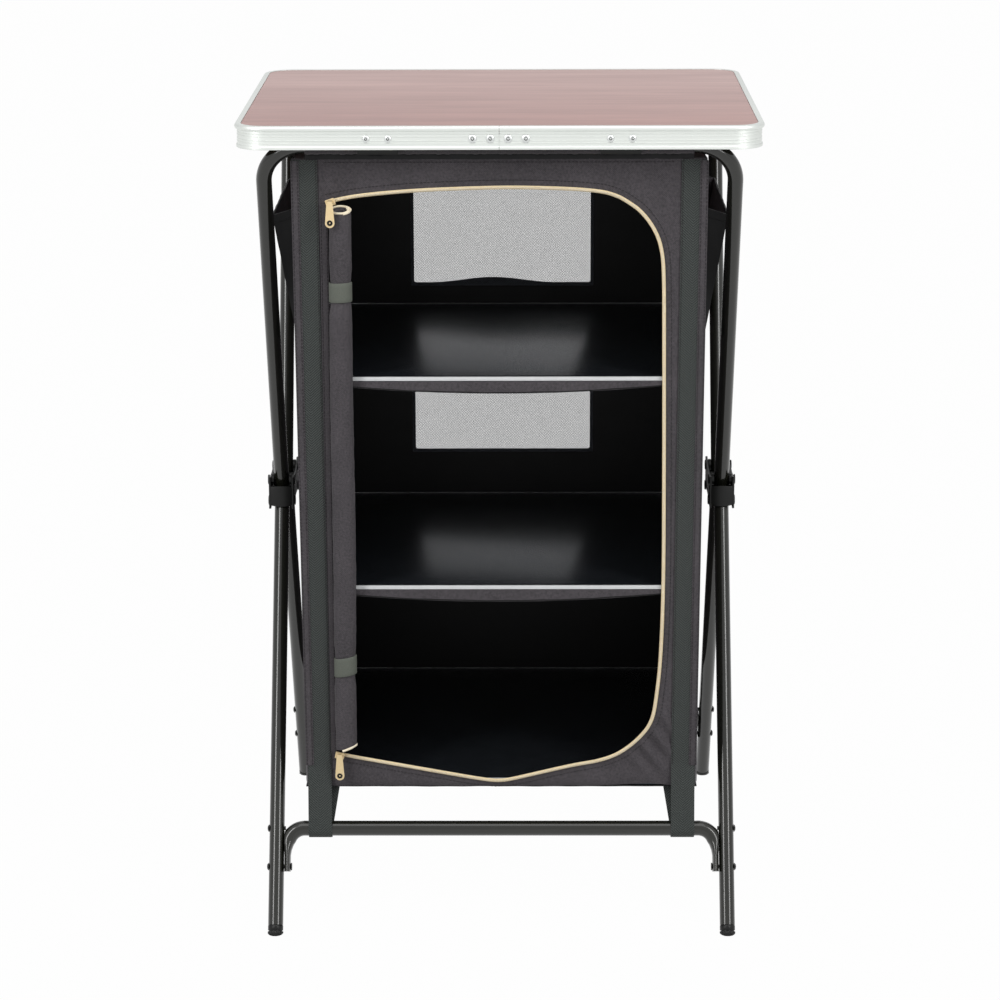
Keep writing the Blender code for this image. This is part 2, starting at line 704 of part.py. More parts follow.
def make_foot(end, side, hand, across):
    name = "lower_" + end + "_foot_" + hand
    sole = (FOOT_SOLE + GAP + TUBE_RADIUS * sin(LOWER_LEAN)) / cos(LOWER_LEAN)
    place = leg_point(side, LOWER_LENGTH - sole + GAP) + Vector((across * LEG_X, 0.0, 0.0))
    axis = Vector((0.0, -side * sin(LOWER_LEAN), cos(LOWER_LEAN)))
    foot = turned(name, foot_profile(), place, axis)
    reach = 4 * TUBE_RADIUS
    ground = box(name + "_ground_cut", (place.x - reach, place.y - reach, -reach),
                 (place.x + reach, place.y + reach, 0.0))
    boolean(foot, ground)
    add(foot, "black_plastic", LOWER[end])


def low_bar_path(side):
    """Across between the legs, then bent to run down along each of them."""
    inner = LEG_X - TUBE_RADIUS - GAP - CRUSHED_THICKNESS / 2
    radius = LOW_BEND_RADIUS
    start = low_bar_down()
    bend = arc((inner - radius, start + radius), radius, 0.0, -pi / 2)
    half = [(inner, start + LOW_BAR_TAIL), (inner, start + radius + CRUSH_LENGTH)] + bend
    flat = half + [(-x, down) for x, down in reversed(half)]
    return [leg_point(side, down) + Vector((x, 0.0, 0.0)) for x, down in flat]


def crush_ends(bar):
    """The tails are pressed flat against the legs: thin across, and wider along Y."""
    inner = LEG_X - TUBE_RADIUS - GAP - CRUSHED_THICKNESS / 2
    squeeze = CRUSHED_THICKNESS / (2 * TUBE_RADIUS)
    start = LOW_BEND_RADIUS
    along = Vector((0.0, 0.0, -1.0))
    for corner in bar.data.vertices:
        down = (LOW_BAR_HEIGHT - corner.co.dot(-along)) / cos(LOWER_LEAN)
        share = min(max((down - start) / CRUSH_LENGTH, 0.0), 1.0)
        middle = inner if corner.co.x > 0 else -inner
        corner.co.x = middle + (corner.co.x - middle) * (1 + (squeeze - 1) * share) if down > start else corner.co.x


def make_low_bars():
    for end, side in ENDS.items():
        name = "lower_" + end + "_crossbar"
        bar = as_mesh(tube(name, low_bar_path(side), TUBE_RADIUS, wall=TUBE_WALL))
        crush_ends(bar)
        limit = LEG_X - TUBE_RADIUS - GAP
        for hand, across in SIDES.items():
            trim = [across * limit, across * (limit + 2 * TUBE_RADIUS)]
            block = box(name + "_side_cut_" + hand,
                        (min(trim), side * LOW_BAR_Y - 4 * TUBE_RADIUS, LOW_BAR_HEIGHT - 2 * LOW_BAR_TAIL),
                        (max(trim), side * LOW_BAR_Y + 4 * TUBE_RADIUS, LOW_BAR_HEIGHT + 2 * LOW_BAR_TAIL))
            boolean(bar, block)
            for index, down in enumerate(rivet_downs()):
                place = leg_point(side, down)
                inside = across * (limit - CRUSHED_THICKNESS - CUT_OVERRUN)
                if index == 0:
                    inside = across * (limit - 2 * TUBE_RADIUS - LOW_BEND_RADIUS)
                hole = rod(name + "_rivet_cut_" + hand + str(index), RIVET_RADIUS + GAP,
                           (inside, place.y, place.z), (across * (limit + CUT_OVERRUN), place.y, place.z))
                boolean(bar, hole)
                make_leg_rivet(end, side, hand, across, index, down)
        add(bar, "painted_steel", LOWER[end])


def make_leg_rivet(end, side, hand, across, index, down):
    name = "lower_" + end + "_rivet_" + hand + ("_lower" if index else "_upper")
    place = leg_point(side, down)
    seat = LEG_X + TUBE_RADIUS + GAP
    length = 2 * TUBE_RADIUS + 2 * GAP + TUBE_WALL
    tail = []
    if index:
        length = 2 * TUBE_RADIUS + 3 * GAP + CRUSHED_THICKNESS
        tail = [(RIVET_HEAD_RADIUS, -length), (RIVET_HEAD_RADIUS, -length - RIVET_HEAD_HEIGHT / 2)]
    profile = [(0.0, RIVET_HEAD_HEIGHT), (RIVET_HEAD_RADIUS * 0.6, RIVET_HEAD_HEIGHT * 0.8),
               (RIVET_HEAD_RADIUS, RIVET_HEAD_HEIGHT * 0.2), (RIVET_HEAD_RADIUS, 0.0), (RIVET_RADIUS, 0.0),
               (RIVET_RADIUS, -length)] + tail
    profile.append((0.0, profile[-1][1]))
    rivet = turned(name, profile, (across * seat, place.y, place.z), (across, 0.0, 0.0), steps=12)
    add(rivet, "black_plastic", LOWER[end])


def hub_plate_outline():
    half = HUB_LENGTH / 2
    tall = HUB_PLATE_HEIGHT / 2
    waist = HUB_WAIST_HEIGHT / 2
    top = [(half, tall), (half * 0.62, tall * 0.92), (0.0, waist), (-half * 0.62, tall * 0.92), (-half, tall)]
    bottom = [(y, -z) for y, z in reversed(top)]
    side_in = half - HUB_WALL / 2
    outline = top + [(-side_in, 0.0)] + bottom + [(side_in, 0.0)]
    return [(y, HUB_HEIGHT + z) for y, z in outline]


def make_hubs():
    """Two plates hold the four tube ends on pins; end walls and a core join the plates."""
    inner = TUBE_RADIUS + GAP
    for hand, across in SIDES.items():
        x = across * LEG_X
        name = "hub_" + hand
        parts = []
        for sign in (-1, 1):
            centre = x + sign * (inner + HUB_PLATE / 2)
            parts.append(as_mesh(sheet(name + "_plate_" + str(sign + 1), [hub_plate_outline()], HUB_PLATE, "YZ",
                                       (centre, 0.0, 0.0))))
        bite = HUB_PLATE / 2
        low, high = HUB_HEIGHT - HUB_WALL_DROP, HUB_HEIGHT + HUB_WALL_RISE
        near = PIN_Y + (LOWER_PIN_Z - low) * tan(LOWER_LEAN) + TUBE_RADIUS / cos(LOWER_LEAN) + GAP
        for end, side in ENDS.items():
            walls = sorted((side * near, side * (near + HUB_WALL)))
            parts.append(box(name + "_wall_" + end, (x - inner - bite, walls[0], low),
                             (x + inner + bite, walls[1], high)))
        parts.append(box(name + "_core", (x - inner - bite, -HUB_CORE_LENGTH / 2, HUB_HEIGHT - HUB_WAIST_HEIGHT / 3),
                         (x + inner + bite, HUB_CORE_LENGTH / 2, HUB_HEIGHT + HUB_WAIST_HEIGHT / 3)))
        outside = inner + HUB_PLATE
        for end, side in ENDS.items():
            for level, z in (("upper", UPPER_PIN_Z), ("lower", LOWER_PIN_Z)):
                head = PIN_HEAD_HEIGHT
                length = 2 * outside
                profile = [(0.0, head), (PIN_HEAD_RADIUS * 0.6, head * 0.8), (PIN_HEAD_RADIUS, head * 0.2),
                           (PIN_HEAD_RADIUS, -HUB_PLATE / 2), (PIN_RADIUS, -HUB_PLATE / 2),
                           (PIN_RADIUS, HUB_PLATE / 2 - length), (PIN_HEAD_RADIUS, HUB_PLATE / 2 - length),
                           (PIN_HEAD_RADIUS, -length - head * 0.2), (PIN_HEAD_RADIUS * 0.6, -length - head * 0.8),
                           (0.0, -length - head)]
                parts.append(turned(name + "_pin_" + end + "_" + level, profile,
                                    (x + across * outside, side * PIN_Y, z), (across, 0.0, 0.0), steps=12))
        hub = parts[0]
        for piece in parts[1:]:
            boolean(hub, piece, "UNION")
        hub.name = name
        add(hub, "black_plastic", HUBS)


def sling_curve(top):
    """The underside of a board's fabric sling, sagging between the side panels."""
    half = HALF_WIDTH - FABRIC
    steps = 2 * ARC_STEPS
    shares = [2 * index / steps - 1 for index in range(steps + 1)]
    return [(half * share, top - SLING_SAG * (1 - share * share)) for share in shares]


def make_cabinet_body():
    """Sides, roof, floor and two board slings, sewn as one sleeve open at the front and back."""
    half = HALF_WIDTH - FABRIC
    outer = rectangle(-HALF_WIDTH, CABINET_BOTTOM, HALF_WIDTH, CABINET_TOP)
    slings = [top - SHELF_THICKNESS - GAP for top in (UPPER_SHELF_TOP, LOWER_SHELF_TOP)]
    upper = sling_curve(slings[0]) + [(half, CABINET_TOP - FABRIC), (-half, CABINET_TOP - FABRIC)]
    middle = sling_curve(slings[1]) + sling_curve(slings[0] - FABRIC)[::-1]
    lower = [(-half, CABINET_BOTTOM + FABRIC), (half, CABINET_BOTTOM + FABRIC)]
    lower += sling_curve(slings[1] - FABRIC)[::-1]
    length = CABINET_DEPTH - 2 * FABRIC - 2 * GAP
    body = sheet("cabinet_body", [outer, upper, middle, lower], length, "XZ")
    add(body, "fabric", CABINET)


def board_length():
    return CABINET_DEPTH - 2 * FABRIC - 2 * MESH_THICKNESS - 6 * GAP


def make_boards():
    half_x = HALF_WIDTH - FABRIC - GAP
    half_y = board_length() / 2
    for name, top, thickness in (("shelf_upper", UPPER_SHELF_TOP, SHELF_THICKNESS),
                                 ("shelf_lower", LOWER_SHELF_TOP, SHELF_THICKNESS),
                                 ("base_board", BASE_BOARD_TOP, BASE_BOARD_THICKNESS)):
        board = box(name, (-half_x, -half_y, top - thickness), (half_x, half_y, top))
        add(board, "shelf_board", pivot(name + "_pivot", (0.0, 0.0, top)))


def door_corners():
    """The zip's path round the doorway, from the top left end to the bottom left end."""
    return [(-DOOR_LEFT_TOP, DOOR_START_HEIGHT, 0.0), (DOOR_SHOULDER_INSET - HALF_WIDTH, DOOR_TOP, SHOULDER_RADIUS),
            (DOOR_RIGHT, DOOR_TOP, TOP_CORNER_RADIUS), (DOOR_RIGHT, DOOR_RIGHT_FOOT, LOW_CORNER_RADIUS),
            (-DOOR_DIP_SIDE, DOOR_DIP, DIP_RADIUS), (-DOOR_LEFT_LOW, DOOR_FOOT_HEIGHT, 0.0)]


def sleeve_half_length():
    return LEG_X - TOP_BEND_RADIUS - GAP


def panel_with_sleeve(name, holes, side):
    """A flat end panel, with a short neck up to the sleeve that runs on the top bar."""
    half = sleeve_half_length()
    neck = TOP_BAR_HEIGHT - (SLEEVE_INNER + SLEEVE_OUTER) / 2 * cos(neck_angle())
    outline = [(-HALF_WIDTH, CABINET_BOTTOM), (HALF_WIDTH, CABINET_BOTTOM), (HALF_WIDTH, CABINET_TOP),
               (half, CABINET_TOP), (half, neck), (-half, neck), (-half, CABINET_TOP), (-HALF_WIDTH, CABINET_TOP)]
    centre = (0.0, side * (HALF_DEPTH - FABRIC / 2), 0.0)
    panel = as_mesh(sheet(name, [outline] + holes, FABRIC, "XZ", centre))
    bar = (side * TOP_BAR_Y, TOP_BAR_HEIGHT)
    rings = [arc(bar, radius, 0.0, 2 * pi, 2 * TURN_STEPS)[:-1] for radius in (SLEEVE_OUTER, SLEEVE_INNER)]
    sleeve = as_mesh(sheet(name + "_sleeve", rings, 2 * half, "YZ"))
    boolean(panel, sleeve, "UNION")
    return panel


def neck_angle():
    return atan2(TOP_BAR_Y - HALF_DEPTH + FABRIC / 2, SLEEVE_OUTER)


def make_front_panel():
    doorway = rounded(door_corners())
    panel = panel_with_sleeve("front_panel", [doorway], -1)
    add(panel, "fabric", HANGER["front"])


def window_spans():
    """How high each window's hole starts and ends."""
    shares = {"upper": (UPPER_WINDOW_LOW_SHARE, UPPER_WINDOW_TOP_SHARE),
              "lower": (LOWER_WINDOW_LOW_SHARE, LOWER_WINDOW_TOP_SHARE)}
    return {name: tuple(CABINET_BOTTOM + CABINET_HEIGHT * share for share in span) for name, span in shares.items()}


def make_back_panel():
    half = WINDOW_WIDTH / 2
    holes = [rectangle(-half, low, half, top, WINDOW_CORNER) for low, top in window_spans().values()]
    panel = panel_with_sleeve("back_panel", holes, 1)
    add(panel, "fabric", HANGER["back"])
    centre_y = HALF_DEPTH - FABRIC - GAP - MESH_THICKNESS / 2
    for name, (low, top) in window_spans().items():
        seam = WINDOW_SEAM
        outline = rectangle(-half - seam, low - seam, half + seam, top + seam, WINDOW_CORNER)
        window = sheet("window_mesh_" + name, [outline], MESH_THICKNESS, "XZ", (0.0, centre_y, 0.0))
        add(window, "window_mesh", HANGER["back"])


def make_zip():
    path = rounded(door_corners())
    points = [(x, -ZIP_Y, z) for x, z in path]
    chain = tube("door_zip", points, ZIP_RADIUS, resolution=2)
    add(chain, "zip_tape", HANGER["front"])


def roll_line():
    """The axis ends of the rolled door, which lies on the slings' front edges beside the doorway."""
    behind = HALF_DEPTH - FABRIC
    top = Vector((-DOOR_LEFT_TOP + GAP + ROLL_TOP_RADIUS, -behind - ROLL_TOP_RADIUS * ROLL_FLATNESS,
                  DOOR_START_HEIGHT - ROLL_TOP_INSET))
    low = Vector((-DOOR_LEFT_LOW + GAP + ROLL_LOW_RADIUS, -behind - ROLL_LOW_RADIUS * ROLL_FLATNESS,
                  DOOR_FOOT_HEIGHT + ROLL_LOW_INSET))
    return top, low


def roll_radius(z):
    top, low = roll_line()
    share = (top.z - z) / (top.z - low.z)
    return ROLL_TOP_RADIUS + (ROLL_LOW_RADIUS - ROLL_TOP_RADIUS) * share


def make_roll():
    """A flattened roll of fabric, wider at its foot, drawn in where each tab ties it."""
    top, low = roll_line()
    heights = [low.z, low.z + ROLL_END_ROUND]
    for tab in (LOWER_TAB_HEIGHT, UPPER_TAB_HEIGHT):
        heights += [tab - TAB_HEIGHT, tab - TAB_HEIGHT / 2, tab + TAB_HEIGHT / 2, tab + TAB_HEIGHT]
    heights += [top.z - ROLL_END_ROUND, top.z]
    pinched = (3, 4, 7, 8)
    ends = (0, len(heights) - 1)
    steps = 2 * ARC_STEPS
    body = bmesh.new()
    rings = []
    for index, z in enumerate(heights):
        centre = low.lerp(top, (z - low.z) / (top.z - low.z))
        radius = roll_radius(z) - GAP - (ROLL_PINCH if index in pinched else 0.0)
        radius -= ROLL_END_ROUND / 2 if index in ends else 0.0
        turns = [2 * pi * step / steps for step in range(steps)]
        rings.append([body.verts.new((centre.x + radius * cos(turn),
                                      centre.y + radius * ROLL_FLATNESS * sin(turn), z)) for turn in turns])
    for ring, following in zip(rings, rings[1:]):
        for index in range(steps):
            after = (index + 1) % steps
            body.faces.new((ring[index], ring[after], following[after], following[index]))
    body.faces.new(rings[0])
    body.faces.new(rings[-1])
    add(from_bmesh("door_roll", body), "fabric", HANGER["front"])


def make_tabs():
    """Each band goes round the front of the roll, from the panel beside it to the doorway."""
    top, low = roll_line()
    for name, z in (("upper", UPPER_TAB_HEIGHT), ("lower", LOWER_TAB_HEIGHT)):
        centre = top.lerp(low, (top.z - z) / (top.z - low.z))
        wide = roll_radius(z) + TAB_THICKNESS / 2
        deep = wide * ROLL_FLATNESS + TAB_THICKNESS / 4
        front_y = -HALF_DEPTH - GAP - TAB_THICKNESS / 2
        around = [(centre.x + wide * cos(turn), centre.y + deep * sin(turn))
                  for _, turn in [(0, pi + pi * step / 12) for step in range(13)]]
        strap_edge = STRAP_INSET + STRAP_WIDTH + GAP - HALF_WIDTH
        path = [(strap_edge, front_y), (around[0][0], front_y)] + around[1:]
        tab = sheet("tie_tab_" + name, [ribbon(path, TAB_THICKNESS)], TAB_HEIGHT, "XY", (0.0, 0.0, z))
        add(tab, "tie_webbing", HANGER["front"])


def zip_run(which):
    """The straight stretch of zip that a slider starts on: its end and its direction."""
    corners = [Vector(corner[:2]) for corner in door_corners()]
    start, towards = (corners[0], corners[1]) if which == "upper" else (corners[-1], corners[-2])
    return start, (towards - start).normalized()


def slider_front_y():
    return -(ZIP_Y + ZIP_RADIUS + GAP + SLIDER_THICKNESS)


def soften(part, width):
    step = part.modifiers.new("soften", "BEVEL")
    step.width = width
    step.segments = 1
    step.limit_method = "ANGLE"


def make_sliders():
    """Each rides on the front of the zip, with a lug that its pull tab hangs from."""
    starts = {"upper": UPPER_SLIDER_START, "lower": LOWER_SLIDER_START}
    leans = {"upper": UPPER_PULL_LEAN, "lower": LOWER_PULL_LEAN}
    for which in ("upper", "lower"):
        start, along = zip_run(which)
        place = start + along * starts[which]
        centre = (place.x, slider_front_y() + SLIDER_THICKNESS / 2, place.y)
        name = "zip_slider_" + which
        half = (SLIDER_LENGTH / 2, SLIDER_THICKNESS / 2, SLIDER_WIDTH / 2)
        slider = box(name, (-half[0], -half[1], -half[2]), half)
        soften(slider, SLIDER_THICKNESS / 4)
        lug = box(name + "_lug", (-SLIDER_LUG_LENGTH / 2, GAP - PULL_STANDOFF - half[1], -SLIDER_LUG_WIDTH / 2),
                  (SLIDER_LUG_LENGTH / 2, 0.0, SLIDER_LUG_WIDTH / 2))
        for piece in (slider, lug):
            piece.location = centre
            piece.rotation_euler = (0.0, -atan2(along.y, along.x), 0.0)
        boolean(slider, lug, "UNION")
        add(slider, "zip_tape", pivot(name + "_pivot", centre))
        make_pull(which, place, leans[which])


def make_pull(which, place, lean):
    """A tapered tab with an eyelet, hanging from the top edge of its back on its slider's lug."""
    hinge = Vector((place.x, slider_front_y() - PULL_STANDOFF, place.y + PULL_TOP_WIDTH / 2))
    narrow, wide = PULL_TOP_WIDTH / 2, PULL_LOW_WIDTH / 2
    outline = rounded([(-narrow, 0.0, narrow / 2), (-wide, -PULL_LENGTH, wide * 0.8),
                       (wide, -PULL_LENGTH, wide * 0.8), (narrow, 0.0, narrow / 2)])
    eyelet = arc((0.0, wide - PULL_LENGTH), PULL_HOLE_RADIUS, 0.0, 2 * pi, 12)[:-1]
    name = "zip_pull_" + which
    outward = Vector((0.0, -cos(lean), sin(lean)))
    pull = sheet(name, [outline, eyelet], PULL_THICKNESS, "XZ", hinge + outward * (PULL_THICKNESS / 2))
    pull.rotation_euler.x -= lean
    add(pull, "zip_tape", pivot(name + "_pivot", hinge))


def strap_path(side):
    """Down the panel's corner, out to the low bar, round under it and back up to the floor's edge."""
    face = HALF_DEPTH + GAP + STRAP_THICKNESS / 2
    wrap = TUBE_RADIUS + GAP + STRAP_THICKNESS / 2
    bar = (LOW_BAR_Y, LOW_BAR_HEIGHT)
    around = arc(bar, wrap, 0.0, -pi + radians(20), 12)
    back = (HALF_DEPTH - STRAP_BACK_INSET, CABINET_BOTTOM - GAP)
    path = [(face, CABINET_TOP), (face, CABINET_BOTTOM + STRAP_LEAVES_RISE)] + around + [back]
    return [(side * y, z) for y, z in path]


def make_straps():
    for end, side in ENDS.items():
        for hand, across in SIDES.items():
            x = across * (HALF_WIDTH - STRAP_INSET - STRAP_WIDTH / 2)
            name = "strap_" + end + "_" + hand
            strap = sheet(name, [ribbon(strap_path(side), STRAP_THICKNESS)], STRAP_WIDTH, "YZ", (x, 0.0, 0.0))
            add(strap, "webbing", HANGER[end])


def pocket_section(shrink):
    """The pocket's triangle seen from the front, or its hollow when shrunk by the fabric."""
    near = HALF_WIDTH + GAP + shrink
    low = POCKET_LOW + 3 * shrink
    reach = POCKET_MOUTH - GAP - 2 * shrink
    top = POCKET_TOP + (CUT_OVERRUN if shrink else 0.0)
    return [(near, low), (near + FABRIC, low), (near + reach, top), (near, top + POCKET_INNER_RISE)]


def make_pockets():
    for hand, across in SIDES.items():
        outer = [(across * x, z) for x, z in pocket_section(0.0)]
        inner = [(across * x, z) for x, z in pocket_section(FABRIC)]
        pocket = as_mesh(sheet("side_pocket_" + hand, [outer], POCKET_LENGTH, "XZ"))
        hollow = as_mesh(sheet("side_pocket_cut_" + hand, [inner], POCKET_LENGTH - 2 * FABRIC, "XZ"))
        boolean(pocket, hollow)
        add(pocket, "fabric", CABINET)


make_table_board()
make_rim()
make_splice()
make_clips()
make_upper_frames()
make_legs()
make_low_bars()
make_hubs()
make_cabinet_body()
make_boards()
make_front_panel()
make_back_panel()
make_zip()
make_roll()
make_tabs()
make_sliders()
make_straps()
make_pockets()

for part in PARTS.objects:
    if part.type == "MESH":
        part.data.shade_smooth()
        part.data.set_sharp_from_angle(angle=radians(35))
print("parts:", sum(part.type != "EMPTY" for part in PARTS.objects))
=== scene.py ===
# %% [markdown]
# # A camp kitchen cupboard
# This lesson dresses a folding camp cupboard: a wood-look table top in a bright aluminium rim, a dark enamelled
# steel frame that folds in two black hubs, and a cloth cabinet with a rolled-up zip door that hangs from the frame.
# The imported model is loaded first. It says where every piece sits, so each piece below is built in place, in metres.

# %% Load the frame
from math import atan2, ceil, cos, hypot, pi, radians, sin, tan

import bmesh
import bpy
import numpy as np
from mathutils import Matrix, Vector


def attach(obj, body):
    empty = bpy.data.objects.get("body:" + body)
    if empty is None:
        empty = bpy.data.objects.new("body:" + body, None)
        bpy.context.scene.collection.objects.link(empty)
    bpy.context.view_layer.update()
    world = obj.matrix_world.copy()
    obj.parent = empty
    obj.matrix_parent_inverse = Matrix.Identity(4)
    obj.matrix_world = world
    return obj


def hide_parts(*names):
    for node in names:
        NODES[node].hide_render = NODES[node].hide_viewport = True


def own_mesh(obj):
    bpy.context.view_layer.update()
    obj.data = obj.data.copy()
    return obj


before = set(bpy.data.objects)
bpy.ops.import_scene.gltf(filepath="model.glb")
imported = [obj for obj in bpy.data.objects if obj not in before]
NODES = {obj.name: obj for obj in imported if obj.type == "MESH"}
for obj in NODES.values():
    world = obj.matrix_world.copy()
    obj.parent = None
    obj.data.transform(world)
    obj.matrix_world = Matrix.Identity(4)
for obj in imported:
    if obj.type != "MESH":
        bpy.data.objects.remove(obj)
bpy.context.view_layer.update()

# %% [markdown]
# The sizes that several pieces share come next, in metres. They repeat the values that the model was built from:
# the cloth, the tubes, the places of the hubs' pins and of the two bars, and each board's node, foot and top.

# %% Shared sizes
GAP, CLOTH, TUBE = 0.0003, 0.0012, 0.009
HALF_WIDTH, HALF_DEPTH, FLOOR_LOW, ROOF_TOP = 0.235, 0.2145, 0.1615, 0.918
LEG_X, PIN_Y, UPPER_PIN, LOWER_PIN, HUB_Z = 0.269, 0.035, 0.495, 0.469, 0.482
BAR_Y, BAR_Z, FOOT_Y, LOW_BAR_Z = 0.218, 0.934, 0.277, 0.111
UPPER_LEAN = atan2(BAR_Y - PIN_Y, BAR_Z - UPPER_PIN)
LOWER_LEAN, LOWER_LENGTH = atan2(FOOT_Y - PIN_Y, LOWER_PIN), hypot(FOOT_Y - PIN_Y, LOWER_PIN)
BOARDS = {"upper": ("shelf_upper", 0.659, 0.664), "lower": ("shelf_lower", 0.4075, 0.4125),
          "base": ("base_board", 0.163, 0.172)}
SIDES, ENDS = {"left": -1, "right": 1}, {"front": -1, "back": 1}
CORNERS = [(end, side, hand, across) for end, side in ENDS.items() for hand, across in SIDES.items()]
print("the lower legs lean", round(LOWER_LEAN, 3), "radians")

# %% [markdown]
# The camera stands where the photographer stood: a long lens, a little above the table top, aimed slightly down.
# Its place was fitted to the rim's corners, the hubs and the feet, with left and right held equal.

# %% Camera
def add_object(name, data):
    """Puts a mesh, a lamp or a camera into the scene."""
    made = bpy.data.objects.new(name, data)
    bpy.context.scene.collection.objects.link(made)
    return made


lens = bpy.data.cameras.new("camera")
lens.lens, lens.sensor_width, lens.clip_end = 114.0, 36.0, 30.0
camera = bpy.context.scene.camera = add_object("camera", lens)
aim = Matrix.Rotation(radians(0.4454), 4, "Z") @ Matrix.Rotation(radians(74.897), 4, "X")
camera.matrix_world = Matrix.Translation((0.0272, -3.7823, 1.4799)) @ aim @ Matrix.Rotation(radians(-0.1775), 4, "Z")
bpy.context.scene.view_settings.view_transform = "Standard"
print("camera at", tuple(round(v, 3) for v in camera.matrix_world.translation))

# %% [markdown]
# Every colour is written as the screen shows it, in hex, and turned into the linear value that a shader uses.
# One helper starts a material, and one adds a node: what goes into it, what it feeds, and its settings. Most
# finishes wander between two tones by one pattern and rise and sink by another, so a third helper does both.

# %% Material helpers
def linear(value):
    """A screen colour such as "#484446" as a shader's linear colour. Numbers stay as they are."""
    if not isinstance(value, str):
        return value
    shares = [int(value[at:at + 2], 16) / 255 for at in (1, 3, 5)]
    return tuple(s / 12.92 if s <= 0.04045 else ((s + 0.055) / 1.055) ** 2.4 for s in shares) + (1.0,)


def new_material(name, **values):
    """A material named after the real one, with its shader's uniform values."""
    material = bpy.data.materials.new(name)
    material.use_nodes = True
    for key, value in values.items():
        material.node_tree.nodes["Principled BSDF"].inputs[key.replace("_", " ")].default_value = linear(value)
    return material


def add_node(material, kind, inputs=(), output=0, feeds=None, **settings):
    """Adds one node and gives its output. Sockets are named, or numbered where names repeat."""
    tree = material.node_tree
    made = tree.nodes.new("ShaderNode" + kind)
    for key, value in settings.items():
        setattr(made, key, value)
    for key, value in dict(inputs).items():
        if isinstance(value, bpy.types.NodeSocket):
            tree.links.new(value, made.inputs[key])
        else:
            made.inputs[key].default_value = linear(value)
    if feeds:
        tree.links.new(made.outputs[output], tree.nodes["Principled BSDF"].inputs[feeds])
    return made.outputs[output]


def tint(material, tone, dark, light, height, strength, depth):
    """Colours a material from dark to light by its tone, with a relief that is depth metres deep."""
    add_node(material, "Mix", {0: tone, 6: dark, 7: light}, output=2, feeds="Base Color", data_type="RGBA")
    add_node(material, "Bump", {"Height": height, "Strength": strength, "Distance": depth}, feeds="Normal")


print("#808080 is", round(linear("#808080")[0], 3), "in a shader")

# %% [markdown]
# The backdrop of the photograph is plain white. The world is white only where the camera sees it. What gloss and
# metal mirror is a little darker, as the real studio's walls are, and the light it sheds is calmer still, so pale
# pieces don't wash out.

# %% Backdrop
world = bpy.context.scene.world = bpy.data.worlds.new("studio")
world.use_nodes = True
ray = add_node(world, "LightPath").node.outputs
seen = add_node(world, "Math", {0: ray["Is Camera Ray"], 1: ray["Is Transmission Ray"]}, operation="MAXIMUM")
shade = add_node(world, "Mix", {0: ray["Is Glossy Ray"], 6: "#9C9C9E", 7: "#E8E8E9"}, output=2, data_type="RGBA")
shade = add_node(world, "Mix", {0: seen, 6: shade, 7: "#FFFFFF"}, output=2, data_type="RGBA")
world.node_tree.links.new(shade, world.node_tree.nodes["Background"].inputs["Color"])
print("backdrop: white where it is seen, paler grey where it is mirrored")

# %% [markdown]
# The floor is the same white to the camera, mixed with a trace of a real surface for a faint shadow. That surface
# is grey, because the real floor throws little light back up: the cloth gets darker towards its foot.

# %% Floor
FLOOR = 40.0
paper = new_material("white_paper_backdrop", Base_Color="#A6A6A6", Roughness=0.9)
ray = add_node(paper, "LightPath").node.outputs
seen = add_node(paper, "Math", {0: ray["Is Camera Ray"], 1: ray["Is Glossy Ray"]}, operation="MAXIMUM")
share = add_node(paper, "Math", {0: seen, 1: 0.985}, operation="MULTIPLY")
glow = add_node(paper, "Emission", {"Color": "#FFFFFF", "Strength": 1.0})
tree = paper.node_tree
mixed = add_node(paper, "MixShader", {0: share, 1: tree.nodes["Principled BSDF"].outputs[0], 2: glow})
tree.links.new(mixed, tree.nodes["Material Output"].inputs["Surface"])
ground = bpy.data.meshes.new("floor")
ground.from_pydata([(-FLOOR, -FLOOR, 0), (FLOOR, -FLOOR, 0), (FLOOR, FLOOR, 0), (-FLOOR, FLOOR, 0)], [], [(0, 1, 2, 3)])
ground.materials.append(paper)
add_object("floor", ground)
print("floor: 80 m square, at the feet")

# %% [markdown]
# Two tall soft boxes stand high to the left and right of the camera. The lower legs lean back from the camera as they
# rise, so they mirror the boxes as the two bright streaks of the photograph, and the upper tubes don't. A wide one
# overhead lights the table top.

# %% Lights
def soft_box(name, at, target, width, height, power):
    """A rectangular studio lamp that faces its target."""
    lamp = bpy.data.lights.new(name, "AREA")
    lamp.shape, lamp.size, lamp.size_y, lamp.energy = "RECTANGLE", width, height, power
    turn = (Vector(target) - Vector(at)).to_track_quat("-Z", "Y").to_matrix().to_4x4()
    add_object(name, lamp).matrix_world = Matrix.Translation(at) @ turn


soft_box("left_box", (-1.75, -1.95, 2.05), (0, 0, 0.50), 0.60, 2.2, 33.0)
soft_box("right_box", (1.80, -1.95, 2.05), (0, 0, 0.50), 0.60, 2.2, 32.0)
soft_box("top_box", (0.0, -0.9, 3.1), (0, 0, 0.8), 2.2, 2.2, 20.0)
print("lights: 3 soft boxes")

# %% [markdown]
# Most pieces are nets of points: rows of points joined by four-cornered faces. Cloth is such a net with a second
# side a millimetre behind it, and a solid is a net of rings, closed at both ends. These helpers turn a net into a
# piece and hand it to its moving body.

